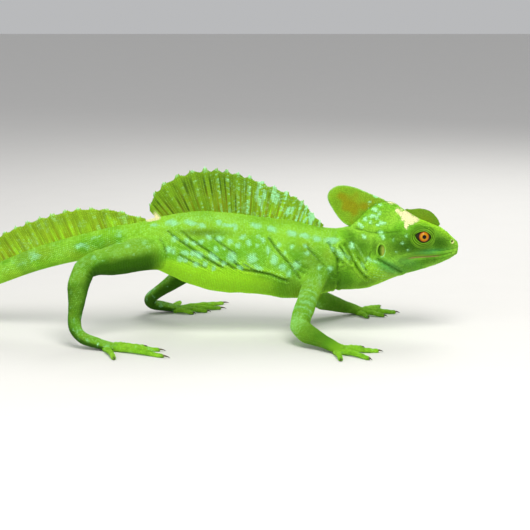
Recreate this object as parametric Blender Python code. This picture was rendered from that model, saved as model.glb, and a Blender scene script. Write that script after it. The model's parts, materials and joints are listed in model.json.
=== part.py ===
"""Green basilisk, a large male at life size, standing still with its head level.

Lengths in the tables are millimetres and are turned into metres where the meshes are made.
+X is towards the snout, +Y is the animal's left and +Z is up, with the floor at z = 0.
"""

import math
from collections import namedtuple

import bmesh
import bpy
import numpy as np
from mathutils import Vector

MM = 0.001
GAP = 0.3
CUT_MARGIN = 0.08
ROOT_SINK = 1.6
SHARP_ANGLE = 45
CENTRE_X = -111.63
CENTRE_Y = 71.54

# Body, from inside the nape to the tail tip: centre line, half height and half width.
BodyStation = namedtuple("BodyStation", "x y z half_height half_width")
BODY = (
    BodyStation(70, 0, 45.2, 19.0, 12.4),
    BodyStation(58, 0, 44.3, 18.4, 12.4),
    BodyStation(48, 0, 43.9, 20.1, 14.6),
    BodyStation(36, 0, 43.9, 22.8, 17.2),
    BodyStation(12, 0, 46.9, 23.1, 19.3),
    BodyStation(-12, 0, 49.2, 23.8, 19.6),
    BodyStation(-30, 0, 52.2, 21.4, 17.6),
    BodyStation(-45, 0, 54.0, 17.0, 14.8),
    BodyStation(-60, 0, 54.8, 12.2, 11.8),
    BodyStation(-75, 0.6, 54.6, 9.4, 9.2),
    BodyStation(-92, 2.5, 51.8, 7.8, 7.2),
    BodyStation(-120, 8, 44.0, 6.8, 5.8),
    BodyStation(-150, 17, 31.5, 6.0, 5.0),
    BodyStation(-180, 31, 18.0, 5.3, 4.4),
    BodyStation(-208, 52, 8.0, 4.6, 4.0),
    BodyStation(-232, 80, 3.8, 4.0, 3.6),
    BodyStation(-250, 115, 3.1, 3.4, 3.1),
    BodyStation(-265, 152, 2.5, 2.8, 2.6),
    BodyStation(-285, 188, 2.0, 2.3, 2.2),
    BodyStation(-314, 214, 1.4, 1.7, 1.7),
    BodyStation(-352, 226, 0.8, 1.0, 1.0),
)
# Over the first length of the neck the rings turn from upright to square with the centre line.
NECK_TURN_END = 22.0
NECK_TURN_LENGTH = 14.0
CENTRE_LINE_POINTS = 1200
BELLY_FULLNESS = 0.10
TAIL_TIP_REACH = (-2.0, 0.4, -0.3)
TAIL_CLEARANCE_SHARE = 0.9
BODY_SIDES = 26
TAIL_SIDES = 14
BODY_RING_STEP = 4.6
TAIL_RING_STEP = 7.5
NECK_FROM_X = 66.0
TORSO_FROM_X = 50.0
TAIL_FROM_X = -68.0
TAIL_SECTIONS = 5

# Head, from the nape to the snout: heights of the crown, brow line, mouth and throat, and half widths.
HeadStation = namedtuple("HeadStation", "x top crown brow_z brow cheek lip mouth_z bottom")
HEAD = (
    HeadStation(66, 64.2, 4.6, 58.5, 9.8, 12.4, 12.2, 42.0, 26.2),
    HeadStation(76, 73.6, 3.4, 62.0, 9.8, 13.6, 13.0, 42.6, 27.4),
    HeadStation(84, 78.4, 2.8, 63.6, 9.8, 14.2, 13.4, 43.6, 30.2),
    HeadStation(92, 78.2, 2.6, 65.4, 9.8, 13.8, 12.9, 45.0, 33.6),
    HeadStation(98, 74.4, 2.6, 66.4, 9.8, 12.8, 11.8, 46.6, 35.6),
    HeadStation(104, 70.8, 2.8, 67.0, 9.5, 11.6, 10.6, 47.6, 37.2),
    HeadStation(111, 67.8, 2.9, 66.2, 8.4, 10.2, 9.2, 47.7, 39.2),
    HeadStation(119.5, 63.8, 2.4, 62.6, 6.0, 7.4, 7.2, 48.0, 42.2),
    HeadStation(125.6, 59.2, 1.8, 58.2, 4.0, 5.1, 4.9, 49.0, 45.0),
    HeadStation(129.4, 55.6, 0.9, 54.9, 1.9, 2.6, 2.4, 50.0, 47.4),
)
SNOUT_TIP = (130.6, 0.0, 52.0)
HEAD_RING_STEP = 2.2
MOUTH_CORNER_X = 93.5
MOUTH_FRONT_X = 128.4
MOUTH_GROOVE = 0.8
LIP_HEIGHT = 1.1

EYE_CENTRE = (108.6, 9.0, 59.7)
EYE_RADIUS = 4.5
ORBIT_RADIUS = 8.5
ORBIT_SWELL = 1.9
LID_RING = 4.15
LID_THICKNESS = 0.75
LID_ROOT = 2.6
LID_RISE = 3.0
LID_LEAN = 0.55
LID_LONG = 1.06
LID_TALL = 0.88
LID_SEGMENTS = 24
LID_SIDES = 6
EAR_CENTRE = (83.8, 14.6, 52.4)
EAR_SIZE = (2.3, 1.5, 3.7)
NOSTRIL_CENTRE = (126.6, 4.1, 55.9)
NOSTRIL_SIZE = (1.1, 0.8, 0.8)

# Sails: place along the body, ray length and backward lean in degrees.
SailStation = namedtuple("SailStation", "along length lean")
BACK_SAIL = (
    SailStation(0.00, 1.6, -18),
    SailStation(0.13, 9.7, -16),
    SailStation(0.32, 17.6, -8),
    SailStation(0.53, 25.0, 6),
    SailStation(0.66, 26.8, 19),
    SailStation(0.79, 24.6, 31),
    SailStation(0.90, 18.6, 47),
    SailStation(1.00, 7.0, 54),
)
BACK_SAIL_X = (50.0, -50.0)
BACK_RAYS = 18
TAIL_SAIL = (
    SailStation(0.00, 1.2, 24),
    SailStation(0.03, 4.6, 22),
    SailStation(0.06, 8.6, 19),
    SailStation(0.10, 12.2, 16),
    SailStation(0.15, 15.2, 12),
    SailStation(0.24, 16.6, 12),
    SailStation(0.36, 16.0, 14),
    SailStation(0.60, 12.0, 20),
    SailStation(0.85, 6.0, 28),
    SailStation(1.00, 1.4, 34),
)
TAIL_SAIL_X = (-56.5, -232.0)
TAIL_RAYS = 28
TAIL_SAIL_PIECES = 3
SAIL_ROWS = 4
SAIL_ROOT_THICKNESS = 1.7
SAIL_EDGE_THICKNESS = 0.7
RAY_RIDGE = 0.45
MEMBRANE_DIP = 0.07
MEMBRANE_NOTCH = 0.3
SAIL_FOOT = 0.6

# Head crests in the middle plane: where each ray starts on the skull and where it ends.
CrestRay = namedtuple("CrestRay", "root_x root_z tip_x tip_z")
REAR_CREST = (
    CrestRay(92.0, 77.4, 86.5, 79.8),
    CrestRay(87.5, 78.2, 77.5, 83.6),
    CrestRay(84.0, 78.0, 68.2, 87.4),
    CrestRay(80.5, 76.2, 60.0, 88.6),
    CrestRay(77.5, 74.0, 54.4, 86.2),
    CrestRay(75.0, 71.8, 52.6, 81.4),
    CrestRay(72.0, 69.0, 55.8, 74.8),
    CrestRay(69.5, 66.6, 60.2, 68.6),
    CrestRay(68.0, 64.8, 64.4, 65.0),
)
FRONT_CREST = (
    CrestRay(99.0, 72.6, 98.8, 74.6),
    CrestRay(103.0, 69.8, 102.6, 74.6),
    CrestRay(107.5, 68.2, 108.0, 75.0),
    CrestRay(111.5, 66.8, 113.6, 73.4),
    CrestRay(115.0, 65.4, 117.6, 69.6),
    CrestRay(118.0, 64.0, 119.6, 65.4),
)
CREST_RAYS = 13
CREST_ROWS = 3
CREST_ROOT_THICKNESS = 4.2
CREST_EDGE_THICKNESS = 1.2
CREST_DIP = 0.3

# Limbs: root inside the body, elbow or knee, wrist or ankle, and the knuckles.
Limb = namedtuple("Limb", "root bend wrist knuckle thickness digits heading")
ARM_THICKNESS = (
    (0.00, 7.2, 7.6),
    (0.30, 5.6, 5.8),
    (0.50, 5.5, 5.6),
    (0.66, 5.2, 5.2),
    (0.86, 3.6, 3.4),
    (0.93, 4.6, 2.7),
    (1.00, 5.2, 2.0),
)
LEG_THICKNESS = (
    (0.00, 10.4, 10.6),
    (0.20, 9.4, 9.6),
    (0.40, 6.6, 6.8),
    (0.55, 5.6, 5.6),
    (0.76, 3.5, 3.5),
    (0.88, 4.0, 2.9),
    (1.00, 5.0, 2.0),
)
# Digits from the inner one out: angle from the heading, length and sideways curl, all for a left foot.
Digit = namedtuple("Digit", "angle length curl")
HAND_DIGITS = (
    Digit(-76, 14, 6),
    Digit(-40, 20, 2),
    Digit(-8, 26, -4),
    Digit(28, 27, 24),
    Digit(72, 20, 14),
)
FOOT_DIGITS = (
    Digit(-44, 15, -8),
    Digit(-24, 23, -6),
    Digit(-8, 33, -2),
    Digit(10, 43, 8),
    Digit(52, 27, 12),
)
LIMBS = {
    "right_arm": Limb(
        (48, -8, 42), (33.5, -37, 10), (50, -55, 5.0), (59, -61, 1.9), ARM_THICKNESS, HAND_DIGITS, -4
    ),
    "left_arm": Limb(
        (42, 8, 42), (44, 38, 14), (66, 50, 5.0), (76, 54, 1.9), ARM_THICKNESS, HAND_DIGITS, 12
    ),
    "right_leg": Limb(
        (-47, -5, 50.5), (-92, -33, 46), (-97, -46, 7), (-73, -53, 1.9), LEG_THICKNESS, FOOT_DIGITS, -16
    ),
    "left_leg": Limb(
        (-50, 5, 51), (-20, 41, 39), (-62, 54, 7), (-40, 62, 1.9), LEG_THICKNESS, FOOT_DIGITS, 22
    ),
}
JOINT_BEND = 13.0
HAND_START = 0.03
KNUCKLE_SPREAD = 0.62
KNUCKLE_SET_BACK = 2.0
OUTER_SET_BACK = 1.5
LIMB_SIDES = 12
LIMB_RING_STEP = 5.0
DIGIT_SIDES = 6
DIGIT_RADIUS = 1.45
DIGIT_ARCH = 0.9
# Share of the digit's length and radius of each ring, as a share of the digit's radius.
DIGIT_RINGS = (
    (0.00, 1.10),
    (0.20, 1.00),
    (0.42, 0.92),
    (0.62, 0.84),
    (0.80, 0.80),
    (0.86, 0.62),
    (0.93, 0.40),
    (1.00, 0.12),
)

COLOURS = {
    "green_skin": (0.16, 0.46, 0.05, 1.0),
    "sail_skin": (0.22, 0.50, 0.04, 1.0),
    "crest_skin": (0.19, 0.48, 0.04, 1.0),
    "eye": (0.75, 0.22, 0.02, 1.0),
}


def smooth_values(knots, at):
    """Values at the places `at` on a smooth curve through rows of (place, value, ...)."""
    rows = np.array(knots, float)
    place, value = rows[:, 0], rows[:, 1:]
    order = np.argsort(place)
    place, value = place[order], value[order]
    span = np.diff(place)[:, None]
    slope = np.diff(value, axis=0) / span
    inner = (slope[:-1] * span[1:] + slope[1:] * span[:-1]) / (span[1:] + span[:-1])
    tangent = np.vstack([slope[:1], inner, slope[-1:]])
    at = np.clip(np.atleast_1d(np.asarray(at, float)), place[0], place[-1])
    i = np.clip(np.searchsorted(place, at, side="right") - 1, 0, len(span) - 1)
    width = span[i]
    t = ((at - place[i])[:, None]) / width
    hermite = (2 * t**3 - 3 * t**2 + 1) * value[i] + (t**3 - 2 * t**2 + t) * width * tangent[i]
    return hermite + (3 * t**2 - 2 * t**3) * value[i + 1] + (t**3 - t**2) * width * tangent[i + 1]


def unit(vectors):
    """The same vectors at length one."""
    vectors = np.asarray(vectors, float)
    return vectors / np.linalg.norm(vectors, axis=-1, keepdims=True)


def distance_along(points):
    """Distance from the first point to each point of a line."""
    steps = np.linalg.norm(np.diff(points, axis=0), axis=1)
    return np.concatenate([[0.0], np.cumsum(steps)])


def material(name):
    """The named material, made once."""
    found = bpy.data.materials.get(name)
    if found:
        return found
    made = bpy.data.materials.new(name)
    made.use_nodes = True
    shader = made.node_tree.nodes["Principled BSDF"]
    shader.inputs["Base Color"].default_value = COLOURS[name]
    shader.inputs["Roughness"].default_value = 0.15 if name == "eye" else 0.5
    made.diffuse_color = COLOURS[name]
    return made


def add_piece(name, points, faces, finish):
    """A mesh object from points in millimetres, with its faces turned outwards."""
    mesh = bpy.data.meshes.new(name)
    mesh.from_pydata([tuple(p) for p in np.asarray(points, float) * MM], [], faces)
    shape = bmesh.new()
    shape.from_mesh(mesh)
    bmesh.ops.recalc_face_normals(shape, faces=shape.faces)
    shape.to_mesh(mesh)
    shape.free()
    mesh.materials.append(material(finish))
    piece = bpy.data.objects.new(name, mesh)
    bpy.context.scene.collection.objects.link(piece)
    return piece


def ring_faces(rings, sides):
    """Quads between neighbouring rings of a closed tube."""
    faces = []
    for r in range(rings - 1):
        for s in range(sides):
            after = (s + 1) % sides
            faces.append((r * sides + s, r * sides + after, (r + 1) * sides + after, (r + 1) * sides + s))
    return faces


def add_tube(name, rings, finish, start_tip=None, end_tip=None):
    """A closed body through rings of points, each end a flat cap or drawn to a tip."""
    rings = np.asarray(rings, float)
    count, sides = rings.shape[:2]
    points = list(rings.reshape(-1, 3))
    faces = ring_faces(count, sides)
    for tip, first in ((start_tip, 0), (end_tip, (count - 1) * sides)):
        if tip is None:
            faces.append(tuple(range(first, first + sides)))
            continue
        points.append(np.asarray(tip, float))
        centre = len(points) - 1
        faces += [(first + s, first + (s + 1) % sides, centre) for s in range(sides)]
    return add_piece(name, points, faces, finish)


def applied_mesh(piece):
    """The piece's mesh with its modifiers applied."""
    graph = bpy.context.evaluated_depsgraph_get()
    return bpy.data.meshes.new_from_object(piece.evaluated_get(graph))


def keep_largest_shell(mesh):
    """Drops every closed surface of the mesh but the largest."""
    shape = bmesh.new()
    shape.from_mesh(mesh)
    left, shells = set(shape.verts), []
    while left:
        start = left.pop()
        shell, front = {start}, [start]
        while front:
            for edge in front.pop().link_edges:
                for vert in edge.verts:
                    if vert in left:
                        left.discard(vert)
                        shell.add(vert)
                        front.append(vert)
        shells.append(shell)
    shells.sort(key=lambda shell: -max_extent(shell))
    loose = [vert for shell in shells[1:] for vert in shell]
    bmesh.ops.delete(shape, geom=loose, context="VERTS")
    shape.to_mesh(mesh)
    shape.free()


def max_extent(verts):
    """Diagonal of the box round some vertices."""
    places = np.array([vert.co for vert in verts])
    return float(np.linalg.norm(places.max(0) - places.min(0)))


def carve(piece, cutters, solver="EXACT"):
    """Cuts each cutter out of the piece and keeps the largest part."""
    for cutter in cutters:
        cut = piece.modifiers.new("cut", "BOOLEAN")
        cut.operation = "DIFFERENCE"
        cut.solver = solver
        cut.object = cutter
    mesh = applied_mesh(piece)
    piece.modifiers.clear()
    piece.data = mesh
    keep_largest_shell(mesh)


def fuse(name, pieces):
    """Joins closed pieces into one body called name."""
    group = bpy.data.collections.new(name + "_pieces")
    bpy.context.scene.collection.children.link(group)
    for piece in pieces[1:]:
        group.objects.link(piece)
    union = pieces[0].modifiers.new("join", "BOOLEAN")
    union.operation = "UNION"
    union.operand_type = "COLLECTION"
    union.collection = group
    mesh = applied_mesh(pieces[0])
    for piece in pieces:
        bpy.data.objects.remove(piece)
    bpy.data.collections.remove(group)
    keep_largest_shell(mesh)
    joined = bpy.data.objects.new(name, mesh)
    bpy.context.scene.collection.objects.link(joined)
    return joined


def ball(name, centre, size, segments=20, rings=12, finish="green_skin"):
    """An ellipsoid with the given half sizes."""
    shape = bmesh.new()
    bmesh.ops.create_uvsphere(shape, u_segments=segments, v_segments=rings, radius=1.0)
    points = np.array([vert.co for vert in shape.verts])
    faces = [tuple(vert.index for vert in face.verts) for face in shape.faces]
    shape.free()
    return add_piece(name, points * np.array(size, float) + np.array(centre, float), faces, finish)


class Body:
    """The centre line of neck, torso and tail, with a frame and half sizes at each distance along it."""

    def __init__(self):
        rows = np.array(BODY, float)
        rough = distance_along(rows[:, :3])
        fine = np.linspace(0, rough[-1], CENTRE_LINE_POINTS)
        table = smooth_values(np.column_stack([rough, rows]), fine)
        self.along = distance_along(table[:, :3])
        self.centre, self.half = table[:, :3], table[:, 3:]
        level = np.clip((NECK_TURN_END - self.along) / NECK_TURN_LENGTH, 0, 1)[:, None]
        backward = unit(np.gradient(self.centre, axis=0))
        self.back = unit(backward * (1 - level) + np.array([-1.0, 0.0, 0.0]) * level)
        self.side = unit(np.cross(self.back, (0.0, 0.0, 1.0)))
        self.up = np.cross(self.side, self.back)
        self.length = self.along[-1]

    def at(self, values, distance):
        """Any of the tables above, read at some distances."""
        return np.column_stack([np.interp(distance, self.along, column) for column in values.T])

    def distance_at_x(self, x):
        """Distance along the body where its centre line passes x."""
        return float(np.interp(-x, -self.centre[:, 0], self.along))

    def rings(self, start, end, step, sides, grow=0.0):
        """Rings of points round the body, larger by grow."""
        count = max(2, round((end - start) / step) + 1)
        distance = np.linspace(start, end, count)
        centre, side, up = (self.at(v, distance)[:, None] for v in (self.centre, self.side, self.up))
        half = self.at(self.half, distance) + grow
        turn = np.linspace(0, 2 * math.pi, sides, endpoint=False)
        across = half[:, 1:2] * np.sin(turn) * (1 - BELLY_FULLNESS * np.cos(turn))
        above = half[:, 0:1] * np.cos(turn)
        return centre + across[:, :, None] * side + above[:, :, None] * up

    def ridge(self, distance, sink):
        """Points along the top of the back, sunk by some depth."""
        half = self.at(self.half, distance)
        return self.at(self.centre, distance) + self.at(self.up, distance) * (half[:, 0:1] - sink)


def flat_on_floor(rings):
    """Rings with whatever would pass below the floor laid flat on it."""
    rings = rings.copy()
    rings[..., 2] = np.maximum(rings[..., 2], 0.0)
    return rings


def make_trunk(body):
    """Neck, torso and the lengths of the tail, each closed and a thin gap apart."""
    neck, torso, tail = (body.distance_at_x(x) for x in (NECK_FROM_X, TORSO_FROM_X, TAIL_FROM_X))
    half_gap = GAP / 2
    neck_rings = body.rings(neck + half_gap, torso - half_gap, BODY_RING_STEP, BODY_SIDES)
    torso_rings = body.rings(torso + half_gap, tail - half_gap, BODY_RING_STEP, BODY_SIDES)
    add_tube("neck", neck_rings, "green_skin")
    add_tube("torso", torso_rings, "green_skin")
    cuts = np.linspace(tail, body.length, TAIL_SECTIONS + 1)
    for number in range(TAIL_SECTIONS):
        start, end = cuts[number] + half_gap, cuts[number + 1] - half_gap
        rings = flat_on_floor(body.rings(start, end, TAIL_RING_STEP, TAIL_SIDES))
        tip = None
        if number == TAIL_SECTIONS - 1:
            tip = rings[-1].mean(0) + TAIL_TIP_REACH
        add_tube(f"tail_{number + 1}", rings, "green_skin", end_tip=tip)


def clearance_of_trunk(body):
    """The trunk and tail grown by the gap: what limbs and sails are cut with."""
    tail = body.distance_at_x(TAIL_FROM_X)
    grow = GAP + CUT_MARGIN
    front = body.rings(0, tail, BODY_RING_STEP, BODY_SIDES, grow)
    rear = body.rings(tail - 1.0, body.length * TAIL_CLEARANCE_SHARE, TAIL_RING_STEP, TAIL_SIDES, grow)
    return [add_tube("trunk_clearance", front, "green_skin"), add_tube("tail_clearance", rear, "green_skin")]


def head_section(station):
    """Half of a head's cross-section, from the crown down to the throat, as (half width, height)."""
    top, crown, brow_z, brow, cheek, lip, mouth_z, bottom, groove = station
    lip_height = min(LIP_HEIGHT, 0.16 * (mouth_z - bottom))

    def down(share, high, low):
        """The value at a share of the way from high to low."""
        return high + (low - high) * share

    return np.array(
        [
            (0.0, top),
            (crown * 0.6, top - 0.25),
            (crown, down(0.14, top, brow_z)),
            (down(0.30, crown, brow), down(0.46, top, brow_z)),
            (down(0.62, crown, brow), down(0.76, top, brow_z)),
            (brow, brow_z),
            (down(0.55, brow, cheek), down(0.16, brow_z, mouth_z)),
            (down(0.92, brow, cheek), down(0.38, brow_z, mouth_z)),
            (cheek, down(0.60, brow_z, mouth_z)),
            (down(0.55, cheek, lip), down(0.78, brow_z, mouth_z)),
            (lip + 0.15, mouth_z + lip_height),
            (lip - groove, mouth_z),
            (lip - 0.10, mouth_z - lip_height * 0.8),
            (lip * 0.93, down(0.34, mouth_z, bottom)),
            (lip * 0.80, down(0.60, mouth_z, bottom)),
            (lip * 0.58, down(0.82, mouth_z, bottom)),
            (lip * 0.30, down(0.96, mouth_z, bottom)),
            (0.0, bottom),
        ]
    )


def head_rings():
    """Rings of the head from the nape to the snout, with the mouth line and the eye's swelling."""
    table = np.array(HEAD, float)
    count = round((table[-1, 0] - table[0, 0]) / HEAD_RING_STEP)
    places = np.linspace(table[0, 0] + GAP / 2, table[-1, 0], count)
    values = smooth_values(table, places)
    groove = MOUTH_GROOVE * np.clip((places - MOUTH_CORNER_X) / 3.0, 0, 1)
    groove *= np.clip((MOUTH_FRONT_X - places) / 4.0, 0, 1)
    rings = []
    for x, value, depth in zip(places, values, groove):
        half = head_section((*value, depth))
        left = np.column_stack([np.full(len(half), x), half])
        swell = eye_swell(left)
        left[:, 1] += swell * (left[:, 1] > 2.0)
        right = left[1:-1][::-1] * (1, -1, 1)
        rings.append(np.vstack([left, right]))
    return np.array(rings)


def eye_swell(points):
    """How far the socket's rim swells out at some points on the left of the head."""
    across = points[:, [0, 2]] - np.array([EYE_CENTRE[0], EYE_CENTRE[2]])
    share = np.clip(1 - (np.linalg.norm(across, axis=1) / ORBIT_RADIUS) ** 2, 0, 1)
    return ORBIT_SWELL * share**1.2


def lid_ring(name, side):
    """The rim of the lids: a ring that lies on the swelling round one eye."""
    x, y, z = EYE_CENTRE
    around = np.linspace(0, 2 * math.pi, LID_SEGMENTS, endpoint=False)
    tube = np.linspace(0, 2 * math.pi, LID_SIDES, endpoint=False)
    points = []
    depth = np.where(np.sin(tube) < 0, LID_ROOT, LID_THICKNESS * 1.3) * np.sin(tube)
    for a in around:
        reach = LID_RING + LID_THICKNESS * np.cos(tube)
        out = y + LID_RISE - LID_LEAN * math.sin(a) - 0.3 * math.cos(a) + depth
        across = x + reach * LID_LONG * math.cos(a)
        above = z + reach * LID_TALL * math.sin(a)
        points += list(zip(across, side * out, above))
    faces = ring_faces(LID_SEGMENTS, LID_SIDES)
    last = (LID_SEGMENTS - 1) * LID_SIDES
    for s in range(LID_SIDES):
        after = (s + 1) % LID_SIDES
        faces.append((last + s, last + after, after, s))
    return add_piece(name, points, faces, "green_skin")


def make_head():
    """The head with its lids, ear hollows, nostrils and mouth line, and the two eyes in their sockets."""
    skull = add_tube("skull", head_rings(), "green_skin", end_tip=SNOUT_TIP)
    pieces = [skull] + [lid_ring("lids", side) for side in (1, -1)]
    head = fuse("head", pieces)
    cutters = []
    for side in (1, -1):
        mirror = np.array([1, side, 1])
        socket = EYE_RADIUS + GAP
        cutters.append(ball("socket", EYE_CENTRE * mirror, (socket,) * 3, 16, 12))
        cutters.append(ball("ear", EAR_CENTRE * mirror, EAR_SIZE, 14, 10))
        cutters.append(ball("nostril", NOSTRIL_CENTRE * mirror, NOSTRIL_SIZE, 8, 6))
    carve(head, cutters, "MANIFOLD")
    for cutter in cutters:
        bpy.data.objects.remove(cutter)
    for side, name in ((1, "left_eye"), (-1, "right_eye")):
        centre = EYE_CENTRE * np.array([1, side, 1])
        ball(name, centre, (EYE_RADIUS,) * 3, 16, 12, "eye")
    return head


def grown_copy(piece, grow):
    """A copy of the piece with its surface moved out by grow."""
    mesh = piece.data.copy()
    for vert, normal in zip(mesh.vertices, [n.vector.copy() for n in mesh.vertex_normals]):
        vert.co += normal * grow * MM
    copy = bpy.data.objects.new(piece.name + "_clearance", mesh)
    bpy.context.scene.collection.objects.link(copy)
    return copy


def add_vane(name, roots, tips, side, thickness, ridges, rows, finish):
    """A thin upright fin from a line of roots to a line of tips, closed all round.

    `thickness` holds the full thickness at root and tip, and `ridges` how much thicker each column is.
    """
    roots, tips, side = (np.asarray(v, float) for v in (roots, tips, side))
    share = np.linspace(0, 1, rows + 1)
    grid = roots[:, None] + (tips - roots)[:, None] * share[None, :, None]
    half = thickness[0] + (thickness[1] - thickness[0]) * share
    half = (half[None] + np.asarray(ridges)[:, None] * (1 - 0.6 * share[None])) / 2
    columns = len(roots)
    width = rows + 1
    points = np.vstack([(grid + half[..., None] * side[:, None] * way).reshape(-1, 3) for way in (1, -1)])
    other = columns * width
    faces = []
    for c in range(columns - 1):
        for r in range(rows):
            a, b = c * width + r, (c + 1) * width + r
            faces += [(a, b, b + 1), (a, b + 1, a + 1)]
            faces += [(a + other, b + 1 + other, b + other), (a + other, a + 1 + other, b + 1 + other)]
    rim = [c * width for c in range(columns)]
    rim += [(columns - 1) * width + r for r in range(1, width)]
    rim += [c * width + rows for c in range(columns - 2, -1, -1)]
    rim += [r for r in range(rows - 1, 0, -1)]
    for here, after in zip(rim, rim[1:] + rim[:1]):
        faces += [(here, after, after + other), (here, after + other, here + other)]
    return add_piece(name, points, faces, finish)


def sail(name, body, profile, from_x, to_x, rays, part, parts, cutters):
    """One length of a sail on the back or tail, its rays raised on both faces."""
    start, end = body.distance_at_x(from_x), body.distance_at_x(to_x)
    columns = rays * 2 + 1
    share = np.linspace(0, 1, columns)
    is_ray = np.arange(columns) % 2 == 1
    first, last = (round(part * (columns - 1) / parts), round((part + 1) * (columns - 1) / parts))
    half_gap = GAP / 2 / (end - start)
    pick = slice(first, last + 1)
    share, is_ray = share[pick].copy(), is_ray[pick]
    share[0] += half_gap * (part > 0)
    share[-1] -= half_gap * (part < parts - 1)
    length, lean = smooth_values(profile, share).T
    distance = start + (end - start) * share
    frame = [body.at(v, distance) for v in (body.up, body.back, body.side)]
    lean = np.radians(lean)[:, None]
    direction = np.cos(lean) * frame[0] + np.sin(lean) * frame[1]
    length = np.where(is_ray, length, length * (1 - MEMBRANE_DIP) - MEMBRANE_NOTCH)
    roots = body.ridge(distance, ROOT_SINK) - direction * SAIL_FOOT
    tips = body.ridge(distance, 0.0) + direction * length[:, None]
    ridges = np.where(is_ray, RAY_RIDGE, 0.0)
    thickness = (SAIL_ROOT_THICKNESS, SAIL_EDGE_THICKNESS)
    vane = add_vane(name, roots, tips, frame[2], thickness, ridges, SAIL_ROWS, "sail_skin")
    carve(vane, cutters)


def crest(name, table, cutter):
    """A crest in the middle plane of the head."""
    rows = np.column_stack([np.linspace(0, 1, len(table)), np.array(table, float)])
    ray = smooth_values(rows, np.linspace(0, 1, CREST_RAYS))
    roots = np.column_stack([ray[:, 0], np.zeros(len(ray)), ray[:, 1]])
    tips = np.column_stack([ray[:, 2], np.zeros(len(ray)), ray[:, 3]])
    roots -= unit(tips - roots) * ROOT_SINK
    side = np.tile((0.0, 1.0, 0.0), (len(ray), 1))
    ridges = np.where(np.arange(len(ray)) % 2 == 1, 0.0, -CREST_DIP)
    thickness = (CREST_ROOT_THICKNESS, CREST_EDGE_THICKNESS)
    vane = add_vane(name, roots, tips, side, thickness, ridges, CREST_ROWS, "crest_skin")
    carve(vane, [cutter])


def rounded_line(corners, bend, step=0.5):
    """Points along straight runs with each inner corner rounded off."""
    corners = np.array(corners, float)
    line = [corners[0]]
    for before, corner, after in zip(corners[:-2], corners[1:-1], corners[2:]):
        reach = min(bend, 0.46 * np.linalg.norm(corner - before), 0.46 * np.linalg.norm(after - corner))
        start = corner + unit(before - corner) * reach
        end = corner + unit(after - corner) * reach
        t = np.linspace(0, 1, 13)[:, None]
        line += list((1 - t) ** 2 * start + 2 * t * (1 - t) * corner + t**2 * end)
    line.append(corners[-1])
    line = np.array(line)
    along = distance_along(line)
    even = np.linspace(0, along[-1], max(8, round(along[-1] / step)))
    return np.column_stack([np.interp(even, along, column) for column in line.T])


def carried_frames(line):
    """Side and up at each point of a line, carried along it without twisting, level at its end."""
    forward = unit(np.gradient(line, axis=0))
    side = np.zeros_like(forward)
    side[-1] = unit(np.cross(forward[-1], (0.0, 0.0, 1.0)))
    for i in range(len(line) - 2, -1, -1):
        carried = side[i + 1] - forward[i] * (side[i + 1] @ forward[i])
        side[i] = unit(carried)
    return forward, side, np.cross(side, forward)


def make_digit(name, root, heading, digit, mirror):
    """One finger or toe with its claw, laid along the floor."""
    steps = len(DIGIT_RINGS)
    share = np.array([row[0] for row in DIGIT_RINGS])
    radius = np.array([row[1] for row in DIGIT_RINGS]) * DIGIT_RADIUS
    turn = np.radians(heading + mirror * (digit.angle + digit.curl * share))
    forward = np.column_stack([np.cos(turn), np.sin(turn), np.zeros(steps)])
    travel = np.concatenate([[0.0], np.diff(share)])[:, None] * forward * digit.length
    centre = np.array(root) + np.cumsum(travel, axis=0)
    arch = DIGIT_ARCH * np.sin(np.clip(share / 0.78, 0, 1) * math.pi)
    centre[:, 2] = 0.8 * radius + arch
    side = np.column_stack([-np.sin(turn), np.cos(turn), np.zeros(steps)])
    spin = np.linspace(0, 2 * math.pi, DIGIT_SIDES, endpoint=False) + math.pi / DIGIT_SIDES
    rings = centre[:, None] + radius[:, None, None] * (
        np.cos(spin)[None, :, None] * side[:, None] + np.sin(spin)[None, :, None] * np.array([0, 0, 1.0])
    )
    return add_tube(name, flat_on_floor(rings), "green_skin")


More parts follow.
